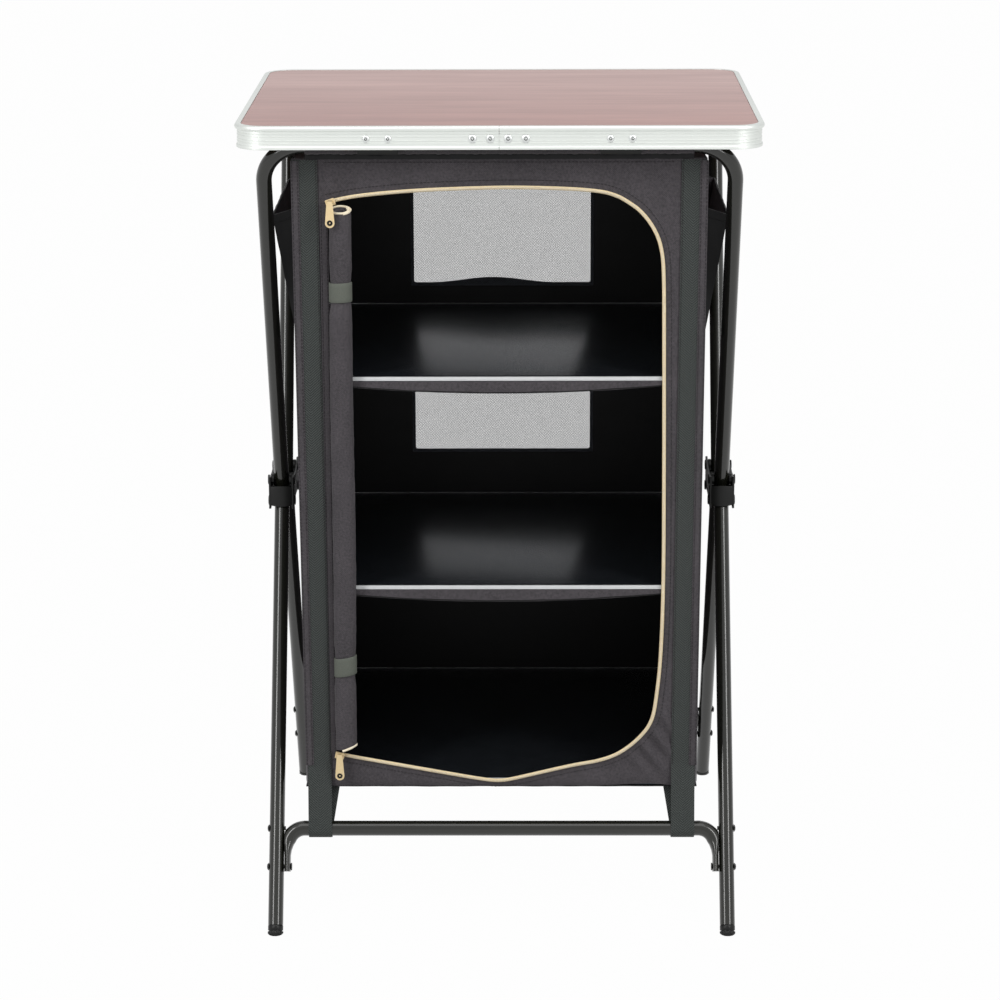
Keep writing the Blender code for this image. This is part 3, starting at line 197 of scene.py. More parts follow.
# %% Mesh helpers
def build(name, points, faces, materials, picks=None, uvs=None, crease=40.0):
    """A mesh piece from points and faces. picks numbers each face's material, uvs gives each point its place."""
    mesh = bpy.data.meshes.new(name)
    mesh.from_pydata([tuple(map(float, p)) for p in points], [], [tuple(map(int, f)) for f in faces])
    for material in materials:
        mesh.materials.append(material)
    if picks:
        mesh.polygons.foreach_set("material_index", np.array(picks, np.int32))
    body = bmesh.new()
    body.from_mesh(mesh)
    bmesh.ops.recalc_face_normals(body, faces=body.faces)
    body.to_mesh(mesh)
    body.free()
    if uvs:
        corners = np.zeros(len(mesh.loops), np.int32)
        mesh.loops.foreach_get("vertex_index", corners)
        mesh.uv_layers.new(name="UVMap").data.foreach_set("uv", np.array(uvs, np.float32)[corners].ravel())
    mesh.shade_smooth()
    mesh.set_sharp_from_angle(angle=radians(crease))
    return add_object(name, mesh)


def net(rows, round_rows=False, round_points=False):
    """The points of some rows, and the faces between them."""
    count, total, faces = len(rows[0]), len(rows), []
    for r in range(total if round_rows else total - 1):
        below = (r + 1) % total * count
        for c in range(count if round_points else count - 1):
            after = (c + 1) % count
            faces.append((r * count + c, r * count + after, below + after, below + c))
    return [p for row in rows for p in row], faces


def solid(rows, points=None, faces=None):
    """Rings of points as a closed solid, added to a piece's points and faces if it has some already."""
    points, faces = [] if points is None else points, [] if faces is None else faces
    start, (made, joins), count = len(points), net(rows, round_points=True), len(rows[0])
    joins += [tuple(range(count))[::-1], tuple(len(made) - count + k for k in range(count))]
    points += made
    faces += [tuple(start + c for c in f) for f in joins]
    return points, faces


def thicken(points, faces, thickness):
    """Gives a net a second side, thickness behind it, and walls round its free edges. Kinds: 0 out, 1 in, 2 wall."""
    points, corners = np.array(points, float), np.array(faces, int)
    normals = np.zeros_like(points)
    across = np.cross(points[corners[:, 2]] - points[corners[:, 0]], points[corners[:, 3]] - points[corners[:, 1]])
    for corner in range(4):
        np.add.at(normals, corners[:, corner], across)
    normals /= np.maximum(np.linalg.norm(normals, axis=1, keepdims=True), 1e-12)
    count = len(points)
    edges = {(f[k], f[(k + 1) % 4]) for f in faces for k in range(4)}
    walls = sorted((b, a, a + count, b + count) for a, b in edges if (b, a) not in edges)
    behind = [tuple(c + count for c in reversed(f)) for f in faces]
    kinds = [0] * len(faces) + [1] * len(behind) + [2] * len(walls)
    return np.vstack([points, points - normals * thickness]), list(faces) + behind + walls, kinds


def place(piece, body, nodes=()):
    """The piece rides a body and stands for CAD nodes, which are hidden."""
    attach(piece, body)
    if nodes:
        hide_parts(*nodes)
    return piece


def refinish(name, material, edge=0.0):
    """A CAD node that keeps its shape gets its real finish, and edges softened by that much."""
    node = NODES[name]
    node.data.materials.clear()
    node.data.materials.append(material)
    if edge:
        soft = node.modifiers.new("soft_edge", "BEVEL")
        soft.width, soft.segments, soft.limit_method, soft.angle_limit = edge, 2, "ANGLE", radians(40)


print("mesh helpers ready")

# %% [markdown]
# Lines are made before the pieces that follow them: values in even steps, the direction at each point, the same line
# with points a pitch apart, and a line whose corners are rounded, as a tube is bent round a former.

# %% Line helpers
def steps(low, high, count):
    """Evenly spaced values from low to high, both included."""
    return [low + (high - low) * k / (count - 1) for k in range(count)]


def full_turn(count):
    """Evenly spaced angles round a full turn."""
    return [2 * pi * k / count for k in range(count)]


def ways(line):
    """The direction of a line at each of its points."""
    return [(line[min(k + 1, len(line) - 1)] - line[max(k - 1, 0)]).normalized() for k in range(len(line))]


def resample(path, pitch):
    """The same line with points about a pitch apart."""
    path = [Vector(p) for p in path]
    made = [path[0]]
    for here, there in zip(path, path[1:]):
        count = max(1, round((there - here).length / pitch))
        made += [here.lerp(there, (k + 1) / count) for k in range(count)]
    return made


def bend(corners, radius, count):
    """A line through corners whose inner corners are rounded."""
    corners = [Vector(c) for c in corners]
    made = [corners[0]]
    for before, corner, after in zip(corners, corners[1:], corners[2:]):
        back, on = (before - corner).normalized(), (after - corner).normalized()
        half = back.angle(on) / 2
        centre = corner + (back + on).normalized() * (radius / sin(half))
        one, two = [corner + way * (radius / tan(half)) - centre for way in (back, on)]
        turn = one.angle(two)
        made += [centre + (one * sin(turn * (1 - share)) + two * sin(turn * share)) / sin(turn)
                 for share in steps(0.0, 1.0, count + 1)]
    return made + [corners[-1]]


print("line helpers ready")

# %% [markdown]
# Tubes and the zip's curls are rings carried along a path. Each ring is turned only as far as the path turns, so the
# skin never twists. A tube's ends are open for a short way, like a sawn tube.

# %% Sweep helpers
def rings(path, radius, sides):
    """One ring of points round each point of a path."""
    made, side = [], ways(path)[0].orthogonal().normalized()
    for at, way in zip(path, ways(path)):
        side = (side - way * side.dot(way)).normalized()
        other = way.cross(side)
        made.append([at + (side * cos(turn) + other * sin(turn)) * radius for turn in full_turn(sides)])
    return made


def sweep(name, path, radius, material, sides=32, hollow=True):
    """A round tube or cord along a path."""
    rows, bore, deep = rings(path, radius, sides), (radius - 0.0012) / radius, 0.012
    if hollow:
        mouth, far = [[end + (p - end) * bore for p in row] for end, row in ((path[0], rows[0]), (path[-1], rows[-1]))]
        into, out = (path[1] - path[0]).normalized() * deep, (path[-2] - path[-1]).normalized() * deep
        rows = [[p + into for p in mouth], mouth] + rows + [far, [p + out for p in far]]
    return build(name, *solid(rows), [material])


print("sweep helpers ready")

# %% [markdown]
# ** Melamine.** The table top is chipboard under a printed melamine paper: a pinkish wood print whose streaks run
# along the table. The resin is smooth and mirrors the backdrop at this low angle, which is the pale haze at the
# back. Streaks on the real print are 2 to 8 mm wide and a hand or more long. The colour is also painted paler and less
# red towards the back, a painted reflection that adds to that haze.

# %% Melamine wood print
melamine = new_material("melamine_wood_print", Roughness=0.30, IOR=1.5)
where = add_node(melamine, "TexCoord", output=3)
streaks = []
for length, width, detail, rough, wander in ((0.22, 0.016, 5.0, 0.6, 1.2), (0.09, 0.003, 3.0, 0.5, 0.0),
                                             (0.5, 0.07, 2.0, 0.5, 0.0)):
    way = add_node(melamine, "Mapping", {"Vector": where, "Scale": (1 / length, 1 / width, 1.0)})
    streaks.append(add_node(melamine, "TexNoise", {"Vector": way, "Scale": 1.0, "Detail": detail, "Roughness": rough,
                                                   "Distortion": wander}))
grain, fine, wide = streaks
tone = add_node(melamine, "Math", {0: fine, 1: 0.18, 2: grain}, operation="MULTIPLY_ADD")
tone = add_node(melamine, "Math", {0: wide, 1: 0.8, 2: tone}, operation="MULTIPLY_ADD")
tone = add_node(melamine, "MapRange", {"Value": tone, "From Min": 0.65, "From Max": 1.3})
# By depth the colour goes from a darker, redder near pair to a paler far pair: painted reflection, paler towards the
# back.
depth = add_node(melamine, "SeparateXYZ", {0: where}, output=1)
depth = add_node(melamine, "MapRange", {"Value": depth, "From Min": -0.25, "From Max": 0.2})
near, far = [add_node(melamine, "Mix", {0: tone, 6: dark, 7: light}, output=2, data_type="RGBA")
             for dark, light in (("#8A5B54", "#AE7A70"), ("#A67A72", "#CAA39B"))]
tint(melamine, depth, near, far, grain, 0.25, 0.0002)
print("melamine: 3 scales of streak")

# %% [markdown]
# **Anodised aluminium.** The rim is an extruded strip, satin anodised: bright, even, and faintly lined along its
# length by the die. The lines are a few hundredths of a millimetre apart, drawn here at 0.8 mm so that they show.

# %% Anodised aluminium
aluminium = new_material("satin_anodised_aluminium", Metallic=1.0, Roughness=0.44)
where = add_node(aluminium, "TexCoord", output=3)
way = add_node(aluminium, "Mapping", {"Vector": where, "Scale": (1 / 0.2, 1 / 0.2, 1 / 0.0008)})
lines = add_node(aluminium, "TexNoise", {"Vector": way, "Scale": 1.0, "Detail": 2.0})
tint(aluminium, lines, "#D9DDD9", "#ECEFEB", lines, 0.12, 0.0002)
print("aluminium: lined by its die")

# %% [markdown]
# **Stoved enamel on steel.** The tubes are thin steel, powder coated in a glossy olive charcoal with metal flake in
# it. The flake mirrors the soft boxes as long bright streaks, and a slight orange peel keeps them from being
# perfect. Peel is about 2 mm across.

# %% Flake enamel
enamel = new_material("flake_enamel_on_steel", Metallic=0.1, Roughness=0.17, Coat_Weight=0.4, Coat_Roughness=0.08)
where = add_node(enamel, "TexCoord", output=3)
flake = add_node(enamel, "TexNoise", {"Vector": where, "Scale": 1 / 0.0012, "Detail": 2.0})
peel = add_node(enamel, "TexNoise", {"Vector": where, "Scale": 1 / 0.002, "Detail": 1.0})
tint(enamel, flake, "#12130E", "#23241D", peel, 0.15, 0.0001)
print("enamel: flake and peel")

# %% [markdown]
# **Moulded nylon.** Hubs, clips and feet are black injection-moulded plastic. A spark-eroded mould leaves a fine
# grain, about 0.2 mm, drawn at 0.6 mm, which softens its highlights.

# %% Moulded black nylon
nylon = new_material("moulded_black_nylon", Base_Color="#101110", Roughness=0.38, Specular_IOR_Level=0.3)
where = add_node(nylon, "TexCoord", output=3)
spark = add_node(nylon, "TexNoise", {"Vector": where, "Scale": 1 / 0.0006, "Detail": 2.0})
add_node(nylon, "MapRange", {"Value": spark, "To Min": 0.30, "To Max": 0.50}, feeds="Roughness")
add_node(nylon, "Bump", {"Height": spark, "Strength": 0.2, "Distance": 0.0001}, feeds="Normal")
print("nylon: grained")

# %% [markdown]
# **Oxford cloth.** The cabinet is polyester oxford, dyed a dark grey with a breath of purple, with a black
# waterproof coat on its inner face. Its threads are 0.6 mm apart, too fine for this view, so the weave is drawn at
# 2.4 mm, with the paler and darker yarns as specks of about 2 mm. One function makes the weave's height for both faces.

# %% Oxford cloth
def wave(material, along, pitch):
    """One sine wave for each pitch of a length."""
    turn = add_node(material, "Math", {0: along, 1: 2 * pi / pitch}, operation="MULTIPLY")
    return add_node(material, "Math", {0: turn}, operation="SINE")


def weave(material, pitch=0.0024):
    """The place on the cloth, and the height of a plain weave of that pitch there, on any upright face."""
    where = add_node(material, "TexCoord", output=3)
    axes = add_node(material, "SeparateXYZ", {0: where}).node.outputs
    flat = add_node(material, "Math", {0: axes[0], 1: axes[1]}, operation="ADD")
    both = add_node(material, "Math", {0: wave(material, flat, pitch), 1: wave(material, axes[2], pitch)},
                    operation="MULTIPLY")
    return where, add_node(material, "Math", {0: both, 1: 0.5, 2: 0.5}, operation="MULTIPLY_ADD")


oxford = new_material("polyester_oxford_weave", Roughness=0.82, Sheen_Weight=0.12, Sheen_Roughness=0.5)
where, height = weave(oxford)
dye = add_node(oxford, "TexNoise", {"Vector": where, "Scale": 1 / 0.05, "Detail": 4.0})
slub = add_node(oxford, "TexNoise", {"Vector": where, "Scale": 1 / 0.0022, "Detail": 2.0})
tone = -0.6
for pattern, share in ((dye, 0.6), (height, 0.3), (slub, 1.2)):
    tone = add_node(oxford, "Math", {0: pattern, 1: share, 2: tone}, operation="MULTIPLY_ADD")
tint(oxford, tone, "#2A272A", "#565155", height, 0.35, 0.0003)
print("oxford cloth: weave drawn at 2.4 mm")

# %% [markdown]
# **Coated cloth.** Inside, the same cloth shows its black polyurethane coat: almost black, with a low satin shine
# and the weave just felt through it.

# %% Black coated cloth
coated = new_material("black_coated_cloth", Roughness=0.5, Specular_IOR_Level=0.25)
where, height = weave(coated)
film = add_node(coated, "TexNoise", {"Vector": where, "Scale": 1 / 0.03, "Detail": 3.0})
tint(coated, film, "#070708", "#0F0F10", height, 0.2, 0.0002)
print("coated cloth: weave under a film")

# %% [markdown]
# **Webbing.** The corner straps are woven ribbed webbing: slanted ribs that mirror about the middle line, between
# two plain edges. Its rib is about 1.6 mm, drawn at 3 mm. The pattern follows the strap, so it reads the strap's own
# lengthwise and crosswise measure, kept in its UV map in metres.

# %% Ribbed webbing
RIB, RIB_SLOPE = 0.003, 0.9
webbing = new_material("ribbed_polyester_webbing", Roughness=0.75, Sheen_Weight=0.1)
axes = add_node(webbing, "SeparateXYZ", {0: add_node(webbing, "UVMap", uv_map="UVMap")}).node.outputs
fold = add_node(webbing, "Math", {0: axes[0]}, operation="ABSOLUTE")
lean = add_node(webbing, "Math", {0: fold, 1: RIB_SLOPE, 2: axes[1]}, operation="MULTIPLY_ADD")
rib = add_node(webbing, "Math", {0: wave(webbing, lean, RIB), 1: 0.5, 2: 0.5}, operation="MULTIPLY_ADD")
tint(webbing, rib, "#191D1C", "#414744", rib, 0.9, 0.0006)
print("webbing: ribs drawn at 3 mm")

# %% [markdown]
# **Small finishes.** Sewing thread, pale tie webbing, the nylon zip and its tape in a warm sand colour, the lacquered
# zinc of the sliders and pulls, the grey net of the windows, the satin black foil of the boards, the white strip
# along their edges, and the rivets' plated steel. Each gets its own slight unevenness.

# %% Small finishes
def speckled(name, dark, light, size, depth, **values):
    """A finish whose colour wanders between two tones over a given size, with a little relief."""
    material = new_material(name, **values)
    where = add_node(material, "TexCoord", output=3)
    wander = add_node(material, "TexNoise", {"Vector": where, "Scale": 1 / size, "Detail": 3.0})
    tint(material, wander, dark, light, wander, 0.3, depth)
    return material


thread = speckled("polyester_thread", "#171517", "#2B282A", 0.002, 0.0001, Roughness=0.8)
pale_webbing = speckled("pale_tie_webbing", "#575B53", "#6B6F66", 0.0012, 0.0002, Roughness=0.8)
zip_nylon = speckled("sand_nylon_zip_coil", "#FFEDCA", "#FFF8E2", 0.004, 0.0001, Roughness=0.5)
zip_cloth = speckled("sand_zip_tape", "#F4DEB2", "#FFF2D0", 0.003, 0.0002, Roughness=0.85)
zinc = speckled("sand_lacquered_zinc", "#EBCF9A", "#FAE4B6", 0.003, 0.0001, Roughness=0.35)
net_thread = speckled("grey_polyester_net", "#696E76", "#81868F", 0.01, 0.0001, Roughness=0.8)
board_foil = speckled("satin_black_foil", "#131518", "#1E2124", 0.02, 0.00002, Roughness=0.25, IOR=1.62,
                      Specular_Tint="#DCE4F2")
edge_strip = speckled("white_edge_strip", "#D2D4D4", "#E4E6E6", 0.01, 0.00005, Roughness=0.4)
steel = speckled("zinc_plated_steel", "#C6C9C8", "#E4E7E5", 0.002, 0.0001, Metallic=1.0, Roughness=0.28)
# The mandrel's darker steel: partly its own dull finish, partly painted shade in the rivet's recess.
mandrel_and_painted_shade = speckled("mandrel_steel_and_painted_shade", "#4A4A48", "#6A6A67", 0.002, 0.0001, Metallic=0.8, Roughness=0.45)
print("small finishes: 10")

# %% [markdown]
# ## The table top
# The board keeps its CAD shape and gets the melamine. The rim is one extruded strip, bent round the board and
# butted at the middle of the front. Its section, a round bead over a lined web and a small lower bead, is carried
# round the outline, so its ridges stay true round the corners.

# %% Board and rim
RIM_TOP, RIM_SEAM = 0.960, 0.0002


def rounded(half, low, high, corner, count, inset=0.0):
    """A rectangle with rounded corners, from its lower right: half to each side, from low to high, less the inset."""
    radius, line = corner - inset, []
    for x, y, start in ((half - corner, low + corner, -pi / 2), (half - corner, high - corner, 0.0),
                        (corner - half, high - corner, pi / 2), (corner - half, low + corner, pi)):
        line += [(x + radius * cos(start + turn), y + radius * sin(start + turn))
                 for turn in steps(0.0, pi / 2, count + 1)]
    return line


def rim_line(offset):
    """The table's outline, offset outwards, from one side of the seam round to the other."""
    deep = 0.250 + offset
    return [(RIM_SEAM, -deep)] + rounded(0.300 + offset, -deep, deep, 0.036 + offset, 18) + [(-RIM_SEAM, -deep)]


# The section as (outward, up) from the outermost top corner: bead, lip, inner face with its flange, lower bead, web.
section = [(-0.003 + 0.003 * cos(turn), -0.0032 + 0.0032 * sin(turn)) for turn in steps(-pi / 2, pi / 2, 13)]
section += [(-0.0062, 0.0), (-0.0073, -0.0002), (-0.0075, -0.0065), (-0.0046, -0.0065), (-0.0046, -0.0088),
            (-0.0135, -0.0088), (-0.0135, -0.01), (-0.0046, -0.01), (-0.0046, -0.027), (-0.0024, -0.027),
            (-0.0018, -0.0266), (-0.0018, -0.024), (-0.0024, -0.023), (-0.003, -0.0226)]
for ridge in (-0.0196, -0.0166, -0.0122, -0.0092):
    section += [(-0.003, ridge - 0.0006), (-0.0026, ridge - 0.0003), (-0.0026, ridge + 0.0003),
                (-0.003, ridge + 0.0006)]
rows = [[(x, y, RIM_TOP + up) for x, y in rim_line(out)] for out, up in section]
points, faces = net(rows, round_rows=True)
faces += [tuple(range(0, len(points), len(rows[0])))[::-1], tuple(range(len(rows[0]) - 1, len(points), len(rows[0])))]
place(build("table_rim", points, faces, [aluminium], crease=30), "tabletop", ["tabletop_rim"])
refinish("tabletop_board", melamine)
print("rim:", len(section), "points in its section")

# %% [markdown]
# The rivets on the rim are blind rivets: a shallow dome with the sunk end of the mandrel in it. The mandrel end is
# darker, partly its own dull steel and partly painted shade in its recess. They are turned about their own axis, like
# the feet, so one function turns a profile of (radius, height) into a solid.

# %% Rivets on the rim
def turned(name, profile, at, axis, materials, sides=32, picks=None, teeth=None):
    """A solid turned from a profile that starts and ends on the axis. teeth changes the radius round the turn."""
    at, way = Vector(at), Vector(axis).normalized()
    one = way.orthogonal().normalized()
    two = way.cross(one)
    rows = [[at + way * up + (one * cos(turn) + two * sin(turn)) * radius * (1 + (teeth(index, turn) if teeth else 0.0))
             for turn in full_turn(sides)] for index, (radius, up) in enumerate(profile[1:-1], 1)]
    points, faces = net(rows, round_points=True)
    count = len(points)
    points += [at + way * up for _, up in (profile[0], profile[-1])]
    for k in range(sides):
        after = (k + 1) % sides
        faces += [(count, after, k), (count - sides + k, count - sides + after, count + 1)]
    kinds = picks and [pick for pick in picks[1:-1] for _ in range(sides)] + [picks[0], picks[-1]] * sides
    return build(name, points, faces, materials, picks=kinds)


def blind_rivet(name, node, x, head, high=0.0015):
    """Seen from the front: rim of the dome, dome, sunk mandrel."""
    profile = [(0.0, 0.0010), (head * 0.18, 0.0009), (head * 0.30, 0.0006), (head * 0.34, 0.0002),
               (head * 0.40, high * 0.92), (head * 0.55, high), (head * 0.8, high * 0.72), (head, high * 0.2),
               (head, 0.0), (0.002, 0.0), (0.002, -0.004), (0.0, -0.004)]
    # The sunk mandrel takes the darker steel, which is partly painted shade in the recess.
    rivet = turned(name, profile, (x, -0.2473, 0.9455), (0, -1, 0), [steel, mandrel_and_painted_shade], picks=[0, 0, 1, 1] + [0] * 7)
    place(rivet, "tabletop", [node])


for number, x in enumerate((-0.030, -0.010, 0.010, 0.030), 1):
    blind_rivet("seam_rivet_%d" % number, "splice_rivet_%d" % number, x, 0.0047)
for hand, side in SIDES.items():
    for order, shift in (("first", -1), ("second", 1)):
        blind_rivet("clip_fixing_%s_%s" % (hand, order), "clip_rivet_%s_%s" % (hand, order),
                    side * 0.1375 + shift * 0.0124, 0.0041)
print("rim rivets: 8")

# %% [markdown]
# ## The steel frame
# Each upper frame is one tube: two legs and the bar between them, bent on a 48 mm radius. Each lower leg is a
# straight tube. They are swept, with the sawn ends left open.

# %% Upper frames and legs
PAST_PIN = 0.0085
SOLE = (0.004 + GAP + TUBE * sin(LOWER_LEAN)) / cos(LOWER_LEAN)


def leg_point(side, down, x=0.0):
    """A point on a lower leg's axis, that far below its pin."""
    return Vector((x, side * (PIN_Y + down * sin(LOWER_LEAN)), LOWER_PIN - down * cos(LOWER_LEAN)))


for end, side in ENDS.items():
    start = (side * (PIN_Y - PAST_PIN * sin(UPPER_LEAN)), UPPER_PIN - PAST_PIN * cos(UPPER_LEAN))
    bar = (side * BAR_Y, BAR_Z)
    line = bend([(-LEG_X, *start), (-LEG_X, *bar), (LEG_X, *bar), (LEG_X, *start)], 0.048, 24)
    upper = sweep("upper_%s_frame" % end, resample(line, 0.02), TUBE, enamel)
    place(upper, "upper_" + end, ["upper_%s_tube" % end])
    for hand, across in SIDES.items():
        line = [leg_point(side, down, across * LEG_X) for down in (-PAST_PIN, LOWER_LENGTH - SOLE)]
        leg = sweep("%s_%s_leg" % (end, hand), resample(line, 0.03), TUBE, enamel)
        place(leg, "lower_" + end, ["lower_%s_leg_%s" % (end, hand)])
print("upper frames: 2, legs: 4")

# %% [markdown]
# The low bars tie the legs together. Each end is bent down along its leg and pressed flat, so that two rivets can
# hold it. The press is a change of section: thin across, a little wider the other way, with a rounded end.

# %% Low bars
LOW_BAR_DOWN = (LOWER_PIN - LOW_BAR_Z) / cos(LOWER_LEAN)


def low_bar(side, flat=0.0078):
    """Rings along the bent line, pressed flat where they run along the legs."""
    limit, foot = LEG_X - TUBE - GAP, LOW_BAR_DOWN + 0.052
    inner = limit - flat / 2
    line = bend([(inner, foot, 0.0), (inner, LOW_BAR_DOWN, 0.0), (-inner, LOW_BAR_DOWN, 0.0), (-inner, foot, 0.0)],
                0.020, 16)
    line = resample(line, 0.006)
    made = rings([leg_point(side, down, x) for x, down, _ in line], TUBE, 32)
    for ring, (x, down, _) in zip(made, line):
        press = min(max((down - LOW_BAR_DOWN - 0.012) / 0.020, 0.0), 1.0)
        press *= press * (3 - 2 * press)
        middle = leg_point(side, down).y
        for k, p in enumerate(ring):
            thin = x + (p.x - x) * (1 + (flat / (2 * TUBE) - 1) * press)
            ring[k] = Vector((min(max(thin, -limit), limit), middle + (p.y - middle) * (1 + 0.15 * press), p.z))
    return made


for end, side in ENDS.items():
    bar = build("low_%s_bar" % end, *solid(low_bar(side)), [enamel])
    place(bar, "lower_" + end, ["lower_%s_crossbar" % end])
    for hand in SIDES:
        for level in ("upper", "lower"):
            refinish("lower_%s_rivet_%s_%s" % (end, hand, level), nylon)
print("low bars: 2, leg rivets: 8")

# %% [markdown]
# Each foot is a moulded plug: a collar under the tube's end, a groove, and a knurled base that is cut level with the
# ground. The knurl is 24 teeth round the base.

# %% Feet
FOOT = [(0.0, 0.010), (0.0070, 0.010), (0.0072, 0.0), (0.0086, 0.0), (0.0090, -0.0005), (0.0090, -0.0057),
        (0.0086, -0.0062), (0.0078, -0.0063), (0.0078, -0.0071), (0.0087, -0.0073), (0.0091, -0.0080),
        (0.0091, -0.0200), (0.0, -0.0200)]


def knurl(index, turn):
    """The teeth on the base, which is the profile's last three rings."""
    return 0.022 * (1 if sin(24 * turn) > 0 else -1) if index > 8 else 0.0


for end, side, hand, across in CORNERS:
    foot = turned("%s_%s_foot" % (end, hand), FOOT, leg_point(side, LOWER_LENGTH - SOLE + GAP, across * LEG_X),
                  (0, -side * sin(LOWER_LEAN), cos(LOWER_LEAN)), [nylon], sides=96, teeth=knurl)
    body = bmesh.new()
    body.from_mesh(foot.data)
    cut = bmesh.ops.bisect_plane(body, geom=body.verts[:] + body.edges[:] + body.faces[:], plane_co=(0, 0, 0.0001),
                                 plane_no=(0, 0, 1), clear_inner=True)
    bmesh.ops.contextual_create(body, geom=[e for e in cut["geom_cut"] if isinstance(e, bmesh.types.BMEdge)])
    body.to_mesh(foot.data)
    body.free()
    place(foot, "lower_" + end, ["lower_%s_foot_%s" % (end, hand)])
print("feet: 4")

# %% [markdown]
# Each hub is one moulding: two thin plates whose ears flare at both ends, a boss round each pin, a rounded wall at
# each end that stops the tubes, and a core. It is gathered from simple solids, each a few rings of points.

# %% Hubs
BOSSES = (((0.0072, 0.0093), (0.0072, 0.0123)), ((0.0060, 0.0149), (0.0060, 0.0163), (0.00516, 0.0166)))
CORE = [(0.020, -0.006), (0.017, -0.009), (-0.017, -0.009), (-0.020, -0.006), (-0.020, 0.006), (-0.017, 0.009),
        (0.017, 0.009), (0.020, 0.006)]


def hub(hand, middle):
    """The solids of one hub, joined into a single piece."""
    points, faces = [], []

    def along_x(outline, stops):
        """Adds a solid with one outline at several places across the hub, each with its own size."""
        solid([[(middle + x, y * size, HUB_Z + z * size) for y, z in outline] for x, size in stops], points, faces)

    half, tall, waist = 0.0505, 0.020, 0.0135
    ear = [(half * cos(turn), waist + (tall - waist) * abs(cos(turn)) ** 1.6) for turn in steps(0.0, pi, 21)]
    ear += [(-half + 0.0022 * sin(turn), tall * cos(turn)) for turn in steps(pi / 8, 7 * pi / 8, 7)]
    for sign in (-1, 1):
        along_x(ear + [(-y, -z) for y, z in ear], [(sign * x, size) for x, size in (
            (0.0124, 0.985), (0.0128, 1.0), (0.0146, 1.0), (0.0151, 0.985))])
        for side in ENDS.values():
            for z in (UPPER_PIN, LOWER_PIN):
                for boss in BOSSES:
                    solid([[(middle + sign * x, side * PIN_Y + radius * cos(turn), z + radius * sin(turn))
                            for turn in full_turn(28)] for radius, x in boss], points, faces)
    for side in ENDS.values():
        rows = []
        for x in steps(-0.0130, 0.0130, 13):
            swell = 1 - (x / 0.0130) ** 2
            front = 0.0490 + 0.0022 * swell
            rows.append([(middle + x, side * y, z) for y, z in (
                (0.0472, 0.4657), (front - 0.0010, 0.4655 - 0.0012 * swell), (front, 0.4675), (front, 0.4770),
                (front - 0.0002, 0.4850), (front - 0.0010, 0.4893 + 0.0008 * swell), (0.0472, 0.4890))])
        solid(rows, points, faces)
    along_x(CORE, [(-0.0130, 1.0), (0.0130, 1.0)])
    moulding = build("hub_%s_moulding" % hand, points, faces, [nylon], crease=35)
    place(moulding, "hubs", ["hub_" + hand])


for hand, across in SIDES.items():
    hub(hand, across * LEG_X)
print("hubs: 2")

# %% [markdown]
# The clips under the table and the splice plate behind the rim's seam keep their CAD shapes, with their edges
# rounded a little as a mould or a press leaves them.

# %% Clips
for name in ("front_clip_left", "front_clip_right", "back_clip_left", "back_clip_right", "rim_splice_plate"):
    refinish(name, aluminium if "plate" in name else nylon, edge=0.0006)
print("clips: 4, splice plate: 1")

# %% [markdown]
# ## The boards
# Two shelves and a base board lie in the cabinet: board under a satin black foil, with rounded corners and a white
# strip along the front edge. The foil mirrors the windows behind, which is why the real shelves look pale at the
# back. The strip is 5 mm wide, also on the thicker base board. A thin pale strip is also drawn along the back edge,
# where a light line shows.

# %% Boards
def slab(name, half_x, half_y, low, high, corner, material, y=0.0):
    """A flat board with rounded corners and softened edges."""
    soft = min(0.0008, (high - low) / 3)
    levels = ((soft, low), (0.0, low + soft), (0.0, high - soft), (soft * 0.3, high - soft * 0.3), (soft, high))
    return build(name, *solid([[(px, py + y, z) for px, py in rounded(half_x, -half_y, half_y, corner, 8, inset)]
                               for inset, z in levels]), [material])


for name, (node, low, high) in BOARDS.items():
    place(slab(name + "_board", 0.2335, 0.2110, low, high, 0.010, board_foil), node, [node])
    for edge, y, foot, head in (("strip", -0.2114, max(low, high - 0.0050) + 0.0002, high - 0.0002),
                                ("back_edge", 0.2108, high - 0.0008, high + 0.0003)):
        strip = slab("%s_board_%s" % (name, edge), 0.2235, 0.0003, foot, head, 0.0002, edge_strip, y)
        place(strip, node)
print("boards: 3, with their edge strips")

# %% [markdown]
# ## The cabinet's cloth
# The cabinet is a sleeve of cloth: two sides, a roof, a floor, and two slings that carry the shelves. Each panel is
# a net with the oxford weave outside and the black coat inside. The sides draw in a little between the boards, and
# the slings sag between the side seams as the real ones do. Where the frame folds, cloth that spans it is listed.

# %% Cloth helpers
FOLDING = []


def cloth(name, flat, materials, body, nodes=(), thickness=CLOTH, folds=False, flip=False):
    """A sheet from a net's points and faces: the first material outside, the last one inside."""
    points, faces, kinds = thicken(flat[0], [f[::-1] for f in flat[1]] if flip else flat[1], thickness)
    piece = build(name, points, faces, materials, picks=[(len(materials) - 1) * (kind == 1) for kind in kinds])
    if folds:
        FOLDING.append(piece)
    return place(piece, body, nodes)


def edge_draw(z):
    """How far the front and back edges of the sides stand out or in, at a height: a slight taper to the floor."""
    return 0.0012 - 0.0047 * (ROOF_TOP - z) / (ROOF_TOP - FLOOR_LOW)


def panel_half(z):
    """Half the width of the front and back panels, at a height."""
    return HALF_WIDTH + edge_draw(z)


def ripple(a, b, seed):
    """A soft, repeatable waviness between -1 and 1."""
    return (sin(a * 3.1 + seed) * cos(b * 2.3 - seed * 1.7) + 0.6 * sin(a * 7.3 - b * 5.1 + seed * 2.9)
            + 0.4 * sin(b * 11.7 + a * 2.2 + seed * 0.6)) / 2.0


print("cloth helpers ready")

# %% [markdown]
# The side panels: pulled in between boards by up to a millimetre and a half, with broad soft dents. At the board
# heights they lie tight against the board's ends.

# %% Sides of the cabinet
ROOMS = ((0.172, 0.4075), (0.4125, 0.659), (0.664, ROOF_TOP))


